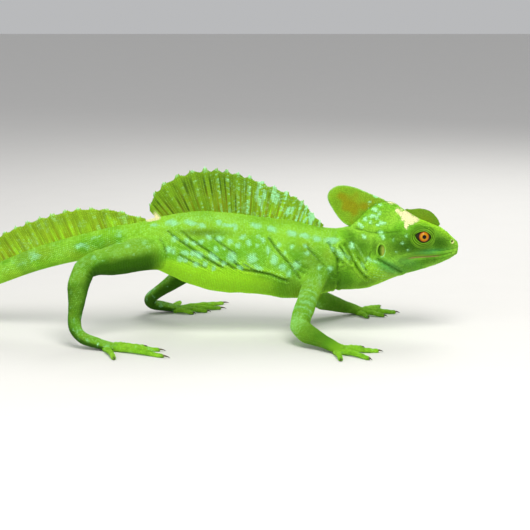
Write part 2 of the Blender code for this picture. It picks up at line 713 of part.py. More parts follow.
def make_limb(name, limb, clearance):
    """Upper and lower limb and its hand or foot with five clawed digits."""
    part_names = ("upper", "lower", "hand") if name.endswith("arm") else ("thigh", "shank", "foot")
    line = rounded_line((limb.root, limb.bend, limb.wrist, limb.knuckle), JOINT_BEND)
    along = distance_along(line)
    _, side, up = carried_frames(line)
    share_at = along / along[-1]
    elbow = share_at[np.argmin(np.linalg.norm(line - np.array(limb.bend), axis=1))]
    wrist = share_at[np.argmin(np.linalg.norm(line - np.array(limb.wrist), axis=1))] + HAND_START
    half_gap = GAP / 2 / along[-1]
    bounds = ((0.0, elbow - half_gap), (elbow + half_gap, wrist - half_gap), (wrist + half_gap, 1.0))
    turn = np.linspace(0, 2 * math.pi, LIMB_SIDES, endpoint=False) + math.pi / LIMB_SIDES
    pieces = []
    for part, (start, end) in zip(part_names, bounds):
        count = max(4, round((end - start) * along[-1] / LIMB_RING_STEP) + 1)
        share = np.linspace(start, end, count)
        centre, across, above = (
            np.column_stack([np.interp(share, share_at, column) for column in v.T])[:, None]
            for v in (line, side, up)
        )
        half = smooth_values(limb.thickness, share)
        rings = centre + half[:, 0, None, None] * np.cos(turn)[None, :, None] * unit(across)
        rings = rings + half[:, 1, None, None] * np.sin(turn)[None, :, None] * unit(above)
        pieces.append(add_tube(f"{name}_{part}", flat_on_floor(rings), "green_skin"))
    carve(pieces[0], clearance)
    mirror = 1 if name.startswith("left") else -1
    across_knuckles = smooth_values(limb.thickness, 1.0)[0, 0]
    heading = math.radians(limb.heading)
    inward = np.array([math.sin(heading), -math.cos(heading), 0.0]) * mirror
    forward = np.array([math.cos(heading), math.sin(heading), 0.0])
    digits = []
    for number, digit in enumerate(limb.digits):
        place = 1 - number / 2
        root = np.array(limb.knuckle) + inward * place * across_knuckles * KNUCKLE_SPREAD
        root = root - forward * (KNUCKLE_SET_BACK + abs(place) * OUTER_SET_BACK)
        digits.append(make_digit(f"digit_{number}", root, limb.heading, digit, mirror))
    palm = pieces[2]
    palm_name = palm.name
    fuse(palm_name + "_joined", [palm] + digits).name = palm_name


def clear_scene():
    """Removes whatever the scene starts with."""
    for thing in list(bpy.data.objects):
        bpy.data.objects.remove(thing)


def main():
    """Builds every piece and hangs them all from one empty at the model's centre."""
    clear_scene()
    body = Body()
    make_trunk(body)
    clearance = clearance_of_trunk(body)
    head = make_head()
    head_clearance = grown_copy(head, GAP + CUT_MARGIN)
    crest("rear_crest", REAR_CREST, head_clearance)
    crest("front_crest", FRONT_CREST, head_clearance)
    sail("back_sail", body, BACK_SAIL, *BACK_SAIL_X, BACK_RAYS, 0, 1, clearance)
    for part in range(TAIL_SAIL_PIECES):
        name = f"tail_sail_{part + 1}"
        sail(name, body, TAIL_SAIL, *TAIL_SAIL_X, TAIL_RAYS, part, TAIL_SAIL_PIECES, clearance)
    for name, limb in LIMBS.items():
        make_limb(name, limb, clearance)
    for helper in [head_clearance] + clearance:
        bpy.data.objects.remove(helper)
    anchor = bpy.data.objects.new("basilisk", None)
    bpy.context.scene.collection.objects.link(anchor)
    anchor.location = Vector((-CENTRE_X, -CENTRE_Y, 0.0)) * MM
    for piece in list(bpy.context.scene.objects):
        if piece.type == "MESH":
            piece.parent = anchor
            piece.data.shade_smooth()
            piece.data.set_sharp_from_angle(angle=math.radians(SHARP_ANGLE))


main()
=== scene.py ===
"""Green basilisk at life size, standing still: skin, scales, sails, crests, eyes and claws.

Lengths in the tables are millimetres from the body's own zero; `to_frame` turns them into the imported
frame. +X is towards the snout, +Y is the animal's left and +Z is up, with the floor at z = 0.
"""

import json
import logging
import math
from dataclasses import dataclass, fields
from enum import Enum
from functools import partial
from itertools import product
from typing import Any, Iterable, NamedTuple, Sequence

import bmesh
import bpy
import numpy as np
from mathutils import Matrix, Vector, noise
from mathutils.bvhtree import BVHTree
from mathutils.kdtree import KDTree

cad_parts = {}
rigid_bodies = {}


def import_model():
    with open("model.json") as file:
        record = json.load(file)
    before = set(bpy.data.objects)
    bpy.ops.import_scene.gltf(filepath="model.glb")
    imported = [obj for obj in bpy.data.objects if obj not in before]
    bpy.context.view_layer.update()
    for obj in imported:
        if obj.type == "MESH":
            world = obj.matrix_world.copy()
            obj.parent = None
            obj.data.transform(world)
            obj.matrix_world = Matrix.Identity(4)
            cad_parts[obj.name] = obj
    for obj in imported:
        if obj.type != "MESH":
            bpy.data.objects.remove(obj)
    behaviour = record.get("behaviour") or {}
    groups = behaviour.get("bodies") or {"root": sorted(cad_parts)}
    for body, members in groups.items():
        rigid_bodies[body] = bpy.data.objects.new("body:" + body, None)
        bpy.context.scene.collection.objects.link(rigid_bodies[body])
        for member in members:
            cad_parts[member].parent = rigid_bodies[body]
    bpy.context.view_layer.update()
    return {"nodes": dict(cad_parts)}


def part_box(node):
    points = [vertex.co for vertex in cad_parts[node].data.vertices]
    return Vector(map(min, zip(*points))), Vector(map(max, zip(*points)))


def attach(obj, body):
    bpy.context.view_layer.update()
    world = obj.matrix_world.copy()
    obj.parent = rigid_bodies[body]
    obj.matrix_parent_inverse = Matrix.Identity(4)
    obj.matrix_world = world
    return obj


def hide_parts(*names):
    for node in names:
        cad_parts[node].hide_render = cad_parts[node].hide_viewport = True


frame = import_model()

log = logging.getLogger("basilisk")

MM = 0.001
Array = np.ndarray
Colour = tuple[float, float, float]
Place = tuple[float, float, float]
Faces = list[tuple[int, ...]]
Sheet = tuple[float, float, float, float]
UP = np.array([0.0, 0.0, 1.0])
# How many strengths the paint of a point has.
STRENGTHS = 8
# Which of them is the cream of old skin.
CREAM = 4
# Corner and size of the part of the bake map that a piece with a map to itself fills.
WHOLE_SHEET = (0.02, 0.02, 0.96, 0.96)


class Side(Enum):
    """Which side of the animal a piece is on."""

    LEFT = 1
    RIGHT = -1


class ScaleShape(Enum):
    """The small forms that stand on the skin."""

    GRAIN = "grain"
    KEEL = "keel"
    PLATE = "plate"
    BEAD = "bead"
    TOOTH = "tooth"


class LimbPlan(NamedTuple):
    """A limb's corners, its thickness table, its digits and the heading of its hand or foot."""

    root: Place
    bend: Place
    wrist: Place
    knuckle: Place
    thickness: Sequence[Place]
    digits: Sequence[Place]
    heading: float


class Crease(NamedTuple):
    """A fold in the skin along (x, z) corners seen from the side."""

    depth: float
    width: float
    line: tuple[tuple[float, float], ...]


class Patch(NamedTuple):
    """A soft oval seen from the side: centre, half sizes, slant in degrees and strength."""

    x: float
    z: float
    half_x: float
    half_z: float
    slant: float = 0.0
    strength: float = 1.0


def creases(*rows: tuple[float, ...]) -> tuple[Crease, ...]:
    """Creases from rows of depth, width and then x and z of each corner."""
    return tuple(Crease(row[0], row[1], tuple(zip(row[2::2], row[3::2]))) for row in rows)


def ovals(*rows: tuple[float, ...]) -> tuple[Patch, ...]:
    """Patches from plain rows."""
    return tuple(Patch(*row) for row in rows)


# Centre of the body, its half height and its half width, from the nape to the tail's tip.
BODY = (
    (70, 0, 45.2, 19, 12.4), (58, 0, 44.3, 18.4, 12.4), (48, 0, 43.9, 20.1, 14.6),
    (36, 0, 43.9, 22.8, 17.2), (12, 0, 46.9, 23.1, 19.3), (-12, 0, 49.2, 23.8, 19.6),
    (-30, 0, 52.2, 21.4, 17.6), (-45, 0, 54, 17, 14.8), (-60, 0, 54.8, 12.2, 11.8),
    (-75, 0.6, 54.6, 9.4, 9.2), (-92, 2.5, 51.8, 7.8, 7.2), (-120, 8, 44, 6.8, 5.8),
    (-150, 17, 31.5, 6, 5), (-180, 31, 18, 5.3, 4.4), (-208, 52, 8, 4.6, 4), (-232, 80, 3.8, 4, 3.6),
    (-250, 115, 3.1, 3.4, 3.1), (-265, 152, 2.5, 2.8, 2.6), (-285, 188, 2, 2.3, 2.2),
    (-314, 214, 1.4, 1.7, 1.7), (-352, 226, 0.8, 1, 1),
)
BELLY_FULLNESS = 0.10
NAPE_X = 66.0
COLLAR_X = 58.4
HIP_X = -72.0
TAIL_TIP_REACH = (-2.0, 0.4, -0.3)

# x, top, crown's half width, brow's height, half widths of brow, cheek and lip, mouth's height, throat.
HEAD = np.array((
    (66, 64.2, 4.6, 58.5, 9.8, 12.4, 12.2, 42, 26.2), (76, 73.6, 3.4, 62, 9.8, 13.6, 13, 42.6, 27.4),
    (84, 78.4, 2.8, 63.6, 9.8, 14.2, 13.4, 43.6, 30.2), (92, 78.2, 2.6, 65.4, 9.8, 13.8, 12.9, 45, 33.6),
    (98, 74.4, 2.6, 66.4, 9.8, 12.8, 11.8, 46.6, 35.6), (104, 70.8, 2.8, 67, 9.5, 11.6, 10.6, 47.6, 37.2),
    (111, 67.8, 2.9, 66.2, 8.4, 10.2, 9.2, 47.7, 39.2), (119.5, 63.8, 2.4, 62.6, 6, 7.4, 7.2, 48, 42.2),
    (125.6, 59.2, 1.8, 58.2, 4, 5.1, 4.9, 49, 45), (129.4, 55.6, 0.9, 54.9, 1.9, 2.6, 2.4, 50, 47.4),
), float)
MOUTH_LINE = HEAD[:, 0], HEAD[:, 7]
SNOUT_TIP = (130.6, 0.0, 52.0)
MOUTH_CORNER_X = 93.5
MOUTH_GROOVE = 0.75
LIP_HEIGHT = 1.1
# Steps round half of the head between the corners of its cross-section, from crown to throat.
KEY_STEPS = (4, 4, 5, 6, 6, 6, 6, 6, 6, 5, 3, 2, 2, 3, 6, 6, 6, 6, 4)
HALF = sum(KEY_STEPS)
UPPER_LIP = sum(KEY_STEPS[:10]) - 2
LOWER_LIP = sum(KEY_STEPS[:14]) + 2

EYE_CENTRE = (108.6, 8.7, 59.7)
EYE_RADIUS = 4.8
ORBIT_RADIUS = 8.5
ORBIT_SWELL = 1.9
GAZE_FORWARD = math.radians(9)
APERTURE = (4.9, 3.45)
APERTURE_SLANT = math.radians(-11)
LIDS_LONG = 8.3
LIDS_UP = 6.4
LIDS_DOWN = 7.5
EAR_CENTRE = (83.8, 52.0)
EAR_SIZE = (2.1, 3.6)
NOSTRIL = (126.6, 55.8)

# Share of the sail's length, length of its rays and their backward lean in degrees.
BACK_SAIL = (
    (0, 1.6, -18), (0.13, 9.7, -16), (0.32, 17.6, -8), (0.53, 25, 6), (0.66, 26.8, 19), (0.79, 24.6, 31),
    (0.9, 18.6, 47), (1, 7, 54),
)
BACK_SAIL_X = (50.0, -50.0)
TAIL_SAIL = (
    (0, 1.2, 24), (0.03, 4.6, 22), (0.06, 8.6, 19), (0.1, 12.2, 16), (0.15, 15.2, 12), (0.24, 16.6, 12),
    (0.36, 16, 14), (0.6, 12, 20), (0.85, 6, 28), (1, 1.4, 34),
)
TAIL_SAIL_X = (-56.5, -232.0)

# x and z of each ray's root on the skull, then of its tip.
REAR_CREST = (
    (92, 77.4, 86.5, 79.8), (87.5, 78.2, 77.5, 83.6), (84, 78, 68.2, 87.4), (80.5, 76.2, 60, 88.6),
    (77.5, 74, 54.4, 86.2), (75, 71.8, 52.6, 81.4), (72, 69, 55.8, 74.8), (69.5, 66.6, 60.2, 68.6),
    (68, 64.8, 64.4, 65),
)
FRONT_CREST = (
    (99, 72.6, 98.8, 74.6), (103, 69.8, 102.6, 74.6), (107.5, 68.2, 108, 75), (111.5, 66.8, 113.6, 73.4),
    (115, 65.4, 117.6, 69.6), (118, 64, 119.6, 65.4),
)

# Share of the limb's length, half width and half height.
ARM_THICKNESS = (
    (0, 7.2, 7.6), (0.3, 5.6, 5.8), (0.5, 5.5, 5.6), (0.66, 5.2, 5.2), (0.86, 3.6, 3.4), (0.93, 4.6, 2.7),
    (1, 5.2, 2),
)
LEG_THICKNESS = (
    (0, 10.4, 10.6), (0.2, 9.4, 9.6), (0.4, 6.6, 6.8), (0.55, 5.6, 5.6), (0.76, 3.5, 3.5), (0.88, 4, 2.9),
    (1, 5, 2),
)
# Angle from the hand's or foot's heading, length and sideways curl.
HAND_DIGITS = (
    (-76, 14, 6), (-40, 20, 2), (-8, 26, -4), (28, 27, 24), (72, 20, 14),
)
FOOT_DIGITS = (
    (-44, 15, -8), (-24, 23, -6), (-8, 33, -2), (10, 43, 8), (52, 27, 12),
)
ARM = (ARM_THICKNESS, HAND_DIGITS)
LEG = (LEG_THICKNESS, FOOT_DIGITS)
LIMBS = {
    "right_arm": LimbPlan((48, -8, 42), (33.5, -37, 10), (50, -55, 5.0), (59, -61, 1.9), *ARM, -4),
    "left_arm": LimbPlan((42, 8, 42), (44, 38, 14), (66, 50, 5.0), (76, 54, 1.9), *ARM, 12),
    "right_leg": LimbPlan((-47, -5, 50.5), (-92, -33, 46), (-97, -46, 7), (-73, -53, 1.9), *LEG, -16),
    "left_leg": LimbPlan((-50, 5, 51), (-20, 41, 39), (-62, 54, 7), (-40, 62, 1.9), *LEG, 22),
}

CREASES = creases(
    (0.8, 1.1, 69, 64, 78.4, 62, 87.8, 62.3, 95.2, 63), (1, 1.1, 82.3, 46.5, 88.3, 43, 96.2, 38.2),
    (1.6, 0.95, 62, 55, 67, 45.9, 70.4, 40.9, 75.4, 35.9),
    (0.6, 0.9, 80, 57.5, 78.4, 52, 75.4, 46.9, 73.9, 44.4), (1.3, 0.75, 52.9, 55.2, 56, 49.8, 59.4, 44.4),
    (0.9, 0.6, 55.8, 52.3, 58.2, 48.6, 61.2, 44.2), (1.55, 0.8, 59.6, 53.6, 62.8, 48.4, 66.6, 43.6),
    (0.7, 0.8, 70.4, 47.2, 72.6, 43.6, 75.2, 39.9), (1.3, 0.9, 57.6, 46.5, 58.1, 37.4, 57.6, 24),
    (0.9, 0.8, -42.4, 63, -35.3, 58.2, -27.6, 52.8, -21.1, 48.6, -10.4, 43.2),
    (0.8, 0.75, -33.5, 63, -27, 57.6, -19.9, 53.4, -11.6, 47.4, -2.7, 42),
    (0.95, 0.85, -5.7, 48.6, -1.6, 44.4, 2, 41.4, 12, 40.1, 20.3, 37.8, 28.6, 34.1),
    (0.55, 0.7, 2.6, 45, 7.3, 42, 12.6, 39.9), (0.8, 1, 17.4, 59.4, 24.5, 50.4, 29.8, 44.4, 35.7, 36),
    (0.85, 0.95, 39.3, 54.6, 47.5, 45.6, 56.4, 35.4), (0.5, 0.7, 33, 46.5, 37.5, 43, 42.5, 41.5),
    (0.5, 0.7, 34, 42, 38.5, 39.2, 43.5, 38.2),
    (0.7, 0.9, -47.1, 58.8, -44.1, 54, -43, 49.2, -45.3, 45.6), (0.4, 0.7, -36, 50, -28, 46, -20, 42.5),
    (0.35, 0.8, -15, 60, -8, 54.5, -2, 51),
)
RIDGES = creases(
    (0.55, 1.1, 100.5, 68, 105, 68.6, 112, 67, 119.4, 63.4, 124.5, 59.4),
    (0.45, 1.3, 97, 66.5, 91, 65.4, 84, 65.6, 77, 66.4), (0.85, 1.1, 64.4, 53.4, 69.4, 45.6, 74.6, 38.6),
    (0.75, 0.9, 57.6, 53.4, 60.9, 48.2, 64.6, 43.2), (0.6, 0.8, 68.8, 55, 72.4, 49.4, 75.6, 44),
    (0.4, 1.1, -38, 63.5, -31, 58.6, -23.5, 53, -14, 47),
    (0.35, 1.2, 1, 45.6, 8, 42.6, 18, 40.6, 27, 37.2), (0.35, 1.2, 20.4, 58, 27, 50, 32.4, 42.6),
)
SWELLINGS = ovals(
    (81, 71, 9.5, 6.5, 20, 1.3), (78, 42.5, 8, 6, -30, 1.4), (88, 54, 7, 6, 0, 0.7),
    (70, 34, 9, 6, -20, 0.8), (42, 46, 8, 9, 20, 0.9), (-8, 40, 22, 7, 0, 0.7), (-50, 55, 9, 8, 0, 0.8),
)
MINT_SPOTS = ovals(
    (-50.8, 66.6, 2.4, 0.9), (-40.1, 67.8, 4.2, 1.5), (-29.1, 68.1, 3.9, 1.2, -8),
    (-22.3, 66.6, 2.4, 1.2, -15), (-12.3, 68.4, 1.8, 1.5), (-6.3, 66.8, 4.2, 0.9), (-2.2, 65.4, 1.2, 1.8),
    (9.7, 66.3, 3.6, 1.4, -6), (19, 64.5, 2.9, 1.5, -20), (31, 61.8, 3, 1.5, -15),
    (38.7, 60.3, 3, 1.4, -12), (45.8, 58.5, 2.4, 1.5, -12), (54.4, 57.3, 3.9, 1.8),
    (-18.1, 60.2, 1.5, 1.2), (-11.6, 59.6, 2.1, 1.2), (-5.7, 57.8, 1.5, 1.5), (1.7, 60.5, 2.1, 1.1, 30),
    (-0.7, 55.7, 1.5, 1.5), (5.5, 57.2, 1.5, 1.5), (10.9, 60.5, 1.1, 1.1), (10.6, 55.4, 1.1, 1.1),
    (13.8, 58.4, 1.1, 1.8), (16.8, 52.7, 1.2, 2.4), (20.6, 47, 1.9, 3.1), (23, 56, 1.4, 1.2),
    (31, 54.2, 1.1, 1.1), (26.8, 51.2, 1.1, 1.2), (25.3, 42.8, 2.2, 1.9), (33.6, 44, 2.1, 2.2),
    (-4.5, 49.1, 2.7, 3), (7.6, 48.2, 2.7, 2.7, -30), (-14, 53.6, 1.2, 1.4), (-9.2, 53.6, 0.9, 0.9),
    (-23.4, 50, 1.9, 2.1), (-15.1, 48.8, 3.3, 1.8, -35), (-32.3, 51.2, 2.4, 1.6), (-27.6, 50.9, 1.8, 1.5),
    (-38.2, 59, 1.8, 1.4, -40), (-31.1, 58.4, 1.8, 1.4, -40), (-27, 56.6, 1.5, 1.2, -40),
    (-22.8, 57.8, 1.4, 1.4), (-41.7, 53, 1.1, 1.8), (-38.8, 51.8, 1.1, 2.1), (10.9, 42.8, 2.4, 1.2, -30),
    (0.5, 42.8, 2.1, 1.1, -30), (39.2, 54.8, 1.2, 0.9, -50), (39.8, 50.6, 1.2, 1.2),
    (46.6, 42.2, 1.2, 1.1), (46.9, 37.4, 1.4, 1.2), (54, 41, 1.5, 1.2, -50), (-35.2, 47, 1.5, 1.5),
    (-31.7, 46.4, 1.4, 1.4), (-25.5, 44.6, 1.6, 1.5), (-20.2, 44.6, 1.5, 1.6), (-15.1, 42.2, 1.4, 1.2),
    (-9.2, 45.2, 1.2, 1.2), (29.2, 39.2, 1.2, 1.8), (59.5, 50, 1.6, 3.2, 30, 0.8),
    (64.5, 47.5, 1.2, 2.6, 35, 0.8), (55, 52.5, 2, 1.6, 0, 0.8),
)
# Mint spots on the head seen from the side. The three ovals over the jowl, near x 73 to 81 and z 43 to 47,
# are painted highlights on its swelling.
HEAD_SPOTS_AND_JOWL_HIGHLIGHTS = ovals(
    (71.4, 66.5, 1.2, 1), (74.9, 69.6, 1.1, 1.3), (78.9, 71.1, 1.6, 1), (81.3, 70.3, 1, 0.8),
    (82.8, 73.1, 1.2, 0.9), (80.3, 75.1, 1.4, 0.8), (83.3, 78.1, 1.6, 0.7), (84.8, 67.5, 2, 0.8),
    (82.3, 66.5, 1.2, 0.8), (77.9, 68, 0.9, 0.9), (72.4, 65, 1.2, 0.8), (73.9, 60, 1.1, 1.3),
    (66.5, 54.5, 1.1, 1.6), (83.8, 62, 1.2, 1.2), (84.8, 60, 1, 1.4), (100.1, 52, 0.8, 0.8, 0, 0.8),
    (96.7, 56, 1, 1.2, 0, 0.6), (92.7, 51.2, 0.8, 0.7, 0, 0.6), (91.2, 58.5, 0.9, 1, 0, 0.6),
    (98.7, 60.5, 0.8, 1.2, 0, 0.6), (76.5, 46.5, 2.6, 1, -20, 0.7), (80.5, 45.4, 2.2, 0.8, -25, 0.7),
    (73, 43, 1, 2, 20, 0.5),
)
CREAM_PATCHES = ovals(
    (99.6, 70.6, 5, 3, -28), (104.2, 69.6, 2.6, 1.5, -10), (95.2, 73.4, 3, 1.6, -45),
    (98.4, 66.2, 1.1, 2.4, 10), (91, 79.4, 3.6, 1.3, -14), (97.5, 76.2, 3.4, 1, -34),
    (-51.6, 69, 4, 2.7, 20),
)
# Darker ovals seen from the side. They hold both the skin's darker greens and painted shade: on the cheek
# below the brow, low on the throat, under the fold along the flank and at the front of the thigh.
DARK_MARKS_AND_PAINTED_SHADE = ovals(
    (101, 54.5, 16.5, 6.6, 0, 1), (108.6, 60, 8, 6, 0, 0.75), (118.5, 55.5, 8, 5, -15, 1),
    (44, 44.5, 10, 6.5, -20, 0.45), (78, 74, 6, 3, 10, 0.3), (112, 45, 9, 2.6, 12, 0.75),
    (92, 60.5, 8, 2.6, 0, 0.7), (66.5, 57.5, 4, 5.5, 20, 0.75), (72.5, 53.5, 6.5, 7.5, 0, 0.75),
    (74, 31.5, 10, 3, 20, 0.6), (80.6, 53.5, 3, 4.5, 0, 0.8), (72, 35, 9, 6, 0, 0.4),
    (30, 30, 10, 7, 0, 0.45), (-22, 62.8, 15, 1.9, 0, 0.6), (-48, 48, 7, 4, 0, 0.12),
    (60, 33, 11, 10, 0, 0.75), (100, 43, 13, 4.5, 8, 0.55), (82, 70, 12, 8, 15, 0.34),
    (-75, 51, 16, 3, 0, 0.3),
)
TEAL_PATCHES = ovals(
    (89, 42, 8.5, 3.6, -24, 0.55), (99, 44.5, 7, 3, -10, 0.4), (113, 50.9, 9, 1.3, 3, 0.75),
)
CASQUE = ovals((80, 71, 11, 7, 15))
JOWL = ovals((76, 43, 8, 7, -30), (66, 47, 5, 9, 25, 0.6))
THROAT = ovals((83, 37.5, 11, 5, -12))
SADDLE = ovals(
    (-18, 70.5, 32, 3.4, -3), (30, 65.5, 22, 3.0, -12, 0.7), (2, 62, 16, 9, -20, 0.6),
    (-25, 47, 14, 5, -15, 0.7),
)
CANTHUS = ((100, 71), (105, 69.4), (112, 67.5), (119.4, 64), (124, 60), (128, 57))
BELLY_X = (-110, -60, -45, -20, 0, 15, 30, 60, 95)
BELLY_Z = (40, 49, 48.5, 46.5, 44, 39, 33, 31, 38)


def on_sheet(sheet: Sheet, across: Array, up: Any) -> Array:
    """Places on the bake map.

    Args:
        sheet: corner and size of an area of the map.
        across: shares of the area's width.
        up: shares of its height.

    Returns:
        One row for each place.
    """
    return sheet[:2] + np.column_stack([across, np.broadcast_to(up, len(across))]) * sheet[2:]


def circle(count: int) -> Array:
    """Evenly spaced angles once round."""
    return np.linspace(0, 2 * math.pi, count, endpoint=False)


def smooth_values(knots: Sequence[Sequence[float]] | Array, at: Any) -> Array:
    """Values on a smooth curve through rows of (place, value, ...).

    Args:
        knots: the rows the curve passes through.
        at: the places to read it at.

    Returns:
        One row of values for each place.
    """
    rows = np.array(knots, float)
    rows = rows[np.argsort(rows[:, 0])]
    place, value = rows[:, 0], rows[:, 1:]
    span = np.diff(place)[:, None]
    slope = np.diff(value, axis=0) / span
    middle = (slope[:-1] * span[1:] + slope[1:] * span[:-1]) / (span[1:] + span[:-1])
    tangent = np.vstack([slope[:1], middle, slope[-1:]])
    at = np.clip(np.atleast_1d(np.asarray(at, float)), place[0], place[-1])
    i = np.clip(np.searchsorted(place, at, side="right") - 1, 0, len(span) - 1)
    width = span[i]
    t = (at - place[i])[:, None] / width
    hermite = (2 * t**3 - 3 * t**2 + 1) * value[i] + (t**3 - 2 * t**2 + t) * width * tangent[i]
    return hermite + (3 * t**2 - 2 * t**3) * value[i + 1] + (t**3 - t**2) * width * tangent[i + 1]


def unit(vectors: Any) -> Array:
    """The same vectors at length one."""
    vectors = np.asarray(vectors, float)
    return vectors / np.maximum(np.linalg.norm(vectors, axis=-1, keepdims=True), 1e-12)


def distance_along(points: Array) -> Array:
    """Distance from the first point to each point of a line."""
    return np.concatenate([[0.0], np.cumsum(np.linalg.norm(np.diff(points, axis=0), axis=1))])


def read_table(table: Array, at: Array, places: Array) -> Array:
    """Columns of a table read between its rows, at some places along it."""
    return np.column_stack([np.interp(places, at, column) for column in table.T])


def rise(low: float, high: float, value: Any) -> Array:
    """Zero below low, one above high, and a smooth step between."""
    t = np.clip((value - low) / (high - low), 0, 1)
    return t * t * (3 - 2 * t)


def bell(distance: Any, width: float) -> Array:
    """A smooth hump of height one at distance zero."""
    return np.exp(-((distance / width) ** 2))


def ripple(points: Array, size: float, seed: float = 0.0) -> Array:
    """Smooth noise at some places.

    Args:
        points: the places.
        size: the distance over which it changes, in millimetres.
        seed: what sets it apart from other noise.

    Returns:
        Numbers from about -1 to 1.
    """
    flat = np.asarray(points, float).reshape(-1, 3) / size + (seed, seed * 1.7, -seed)
    values = np.array([noise.noise(row) for row in flat.tolist()])
    return values.reshape(np.asarray(points).shape[:-1])


def find_body_zero() -> Array:
    """Where the body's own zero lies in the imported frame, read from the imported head."""
    low, high = (np.array(corner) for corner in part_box("head"))
    return np.array([high[0] - SNOUT_TIP[0] * MM, (low[1] + high[1]) / 2, 0.0])


BODY_ZERO = find_body_zero()


def to_frame(points: Array) -> Array:
    """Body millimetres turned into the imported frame's metres."""
    return np.asarray(points, float) * MM + BODY_ZERO


def in_front(place: Array) -> Array:
    """Whether places on the skin lie in front of the ragged border of neck and body scales."""
    wander = rise(38, 50, place[:, 2]) * (3.0 * ripple(place, 5.0, 40.0) + 1.5 * ripple(place, 1.6, 41.0))
    return place[:, 0] > COLLAR_X + wander


def patches(x: Array, z: Array, table: Iterable[Patch], sharp: float = 2.0) -> Array:
    """The strongest of some soft ovals at each place seen from the side.

    Args:
        x: places along the animal.
        z: their heights.
        table: the ovals.
        sharp: how hard their edges are.

    Returns:
        A strength for each place.
    """
    found = np.zeros_like(x)
    for patch in table:
        slant = math.radians(patch.slant)
        dx, dz = x - patch.x, z - patch.z
        a = (dx * math.cos(slant) + dz * math.sin(slant)) / patch.half_x
        b = (dz * math.cos(slant) - dx * math.sin(slant)) / patch.half_z
        found = np.maximum(found, patch.strength / (1 + (a * a + b * b) ** sharp))
    return found


def line_distance(x: Array, z: Array, line: Sequence[tuple[float, float]]) -> Array:
    """Distance from each place to a line of corners, seen from the side.

    Args:
        x: places along the animal.
        z: their heights.
        line: the corners.

    Returns:
        A distance for each place.
    """
    nearest = np.full_like(x, 1e9)
    for (ax, az), (bx, bz) in zip(line[:-1], line[1:]):
        length = (bx - ax) ** 2 + (bz - az) ** 2
        t = np.clip(((x - ax) * (bx - ax) + (z - az) * (bz - az)) / length, 0, 1)
        nearest = np.minimum(nearest, np.hypot(x - ax - t * (bx - ax), z - az - t * (bz - az)))
    return nearest


def quaternions(forward: Array, normal: Array) -> Array:
    """Rotations that turn +X to forward and +Z to the normal.

    Args:
        forward: where each +X goes.
        normal: where each +Z goes.

    Returns:
        Rows of (w, x, y, z).
    """
    z = unit(normal)
    x = unit(forward - z * np.sum(forward * z, axis=-1, keepdims=True))
    m = np.stack([x, np.cross(z, x), z], axis=-1)
    signs = ((1, 1, 1), (1, -1, -1), (-1, 1, -1), (-1, -1, 1))
    columns = []
    for (a, b, c), (i, j) in zip(signs, ((0, 0), (2, 1), (0, 2), (1, 0))):
        size = np.sqrt(np.maximum(0, 1 + a * m[:, 0, 0] + b * m[:, 1, 1] + c * m[:, 2, 2])) / 2
        columns.append(np.copysign(size, m[:, i, j] - m[:, j, i]))
    return np.column_stack(columns)


def ring_faces(rings: int, sides: int, closed: bool = True) -> Faces:
    """Quads between neighbouring rings of points.

    Args:
        rings: how many rings there are.
        sides: points in each ring.
        closed: whether the last side is joined to the first.

    Returns:
        The faces.
    """
    faces = []
    for r in range(rings - 1):
        for s in range(sides if closed else sides - 1):
            after = (s + 1) % sides
            faces.append((r * sides + s, r * sides + after, (r + 1) * sides + after, (r + 1) * sides + s))
    return faces


def fan(start: int, sides: int, tip: int) -> Faces:
    """Triangles from a ring of points, numbered on from start, to one tip."""
    return [(start + s, start + (s + 1) % sides, tip) for s in range(sides)]


def caps(rings: int, sides: int) -> Faces:
    """One face over each end of a tube of rings."""
    return [tuple(range(sides)), tuple(range((rings - 1) * sides, rings * sides))]


def ring_tree(rings: Array) -> BVHTree:
    """A search tree over the faces between rings of points."""
    return BVHTree.FromPolygons(rings.reshape(-1, 3).tolist(), ring_faces(*rings.shape[:2]))


def point_tree(points: Array) -> KDTree:
    """A search tree over points."""
    rows = points.reshape(-1, 3).tolist()
    tree = KDTree(len(rows))
    for number, row in enumerate(rows):
        tree.insert(row, number)
    tree.balance()
    return tree


def link_mesh(name: str, points: Array, faces: Sequence[Sequence[int]]) -> bpy.types.Object:
    """A smooth mesh object with its faces turned outwards.

    Args:
        name: the piece's name.
        points: its points, in the object's own coordinates.
        faces: its faces as rows of point numbers.

    Returns:
        The new object, linked to the scene.
    """
    mesh = bpy.data.meshes.new(name)
    mesh.from_pydata(points, [], faces)
    shape = bmesh.new()
    shape.from_mesh(mesh)
    bmesh.ops.recalc_face_normals(shape, faces=shape.faces)
    shape.to_mesh(mesh)
    shape.free()
    mesh.shade_smooth()
    return link(name, mesh)


def mesh_places(mesh: bpy.types.Mesh) -> Array:
    """The places of a mesh's points, in metres."""
    places = np.empty(len(mesh.vertices) * 3, np.float32)
    mesh.vertices.foreach_get("co", places)
    return places.reshape(-1, 3)


def link(name: str, data: bpy.types.ID) -> bpy.types.Object:
    """A new object in the scene.

    Args:
        name: its name.
        data: its mesh, light or camera.

    Returns:
        The new object.
    """
    piece = bpy.data.objects.new(name, data)
    bpy.context.scene.collection.objects.link(piece)
    return piece


def store(mesh: bpy.types.Mesh, name: str, kind: str, values: Array) -> None:
    """Writes one row of values for each point of a mesh as a named attribute.

    Args:
        mesh: the mesh.
        name: the attribute's name.
        kind: its type.
        values: the rows.
    """
    key = {"FLOAT_VECTOR": "vector", "FLOAT_COLOR": "color"}.get(kind, "value")
    attribute = mesh.attributes.get(name) or mesh.attributes.new(name, kind, "POINT")
    attribute.data.foreach_set(key, np.asarray(values, np.float32).ravel())


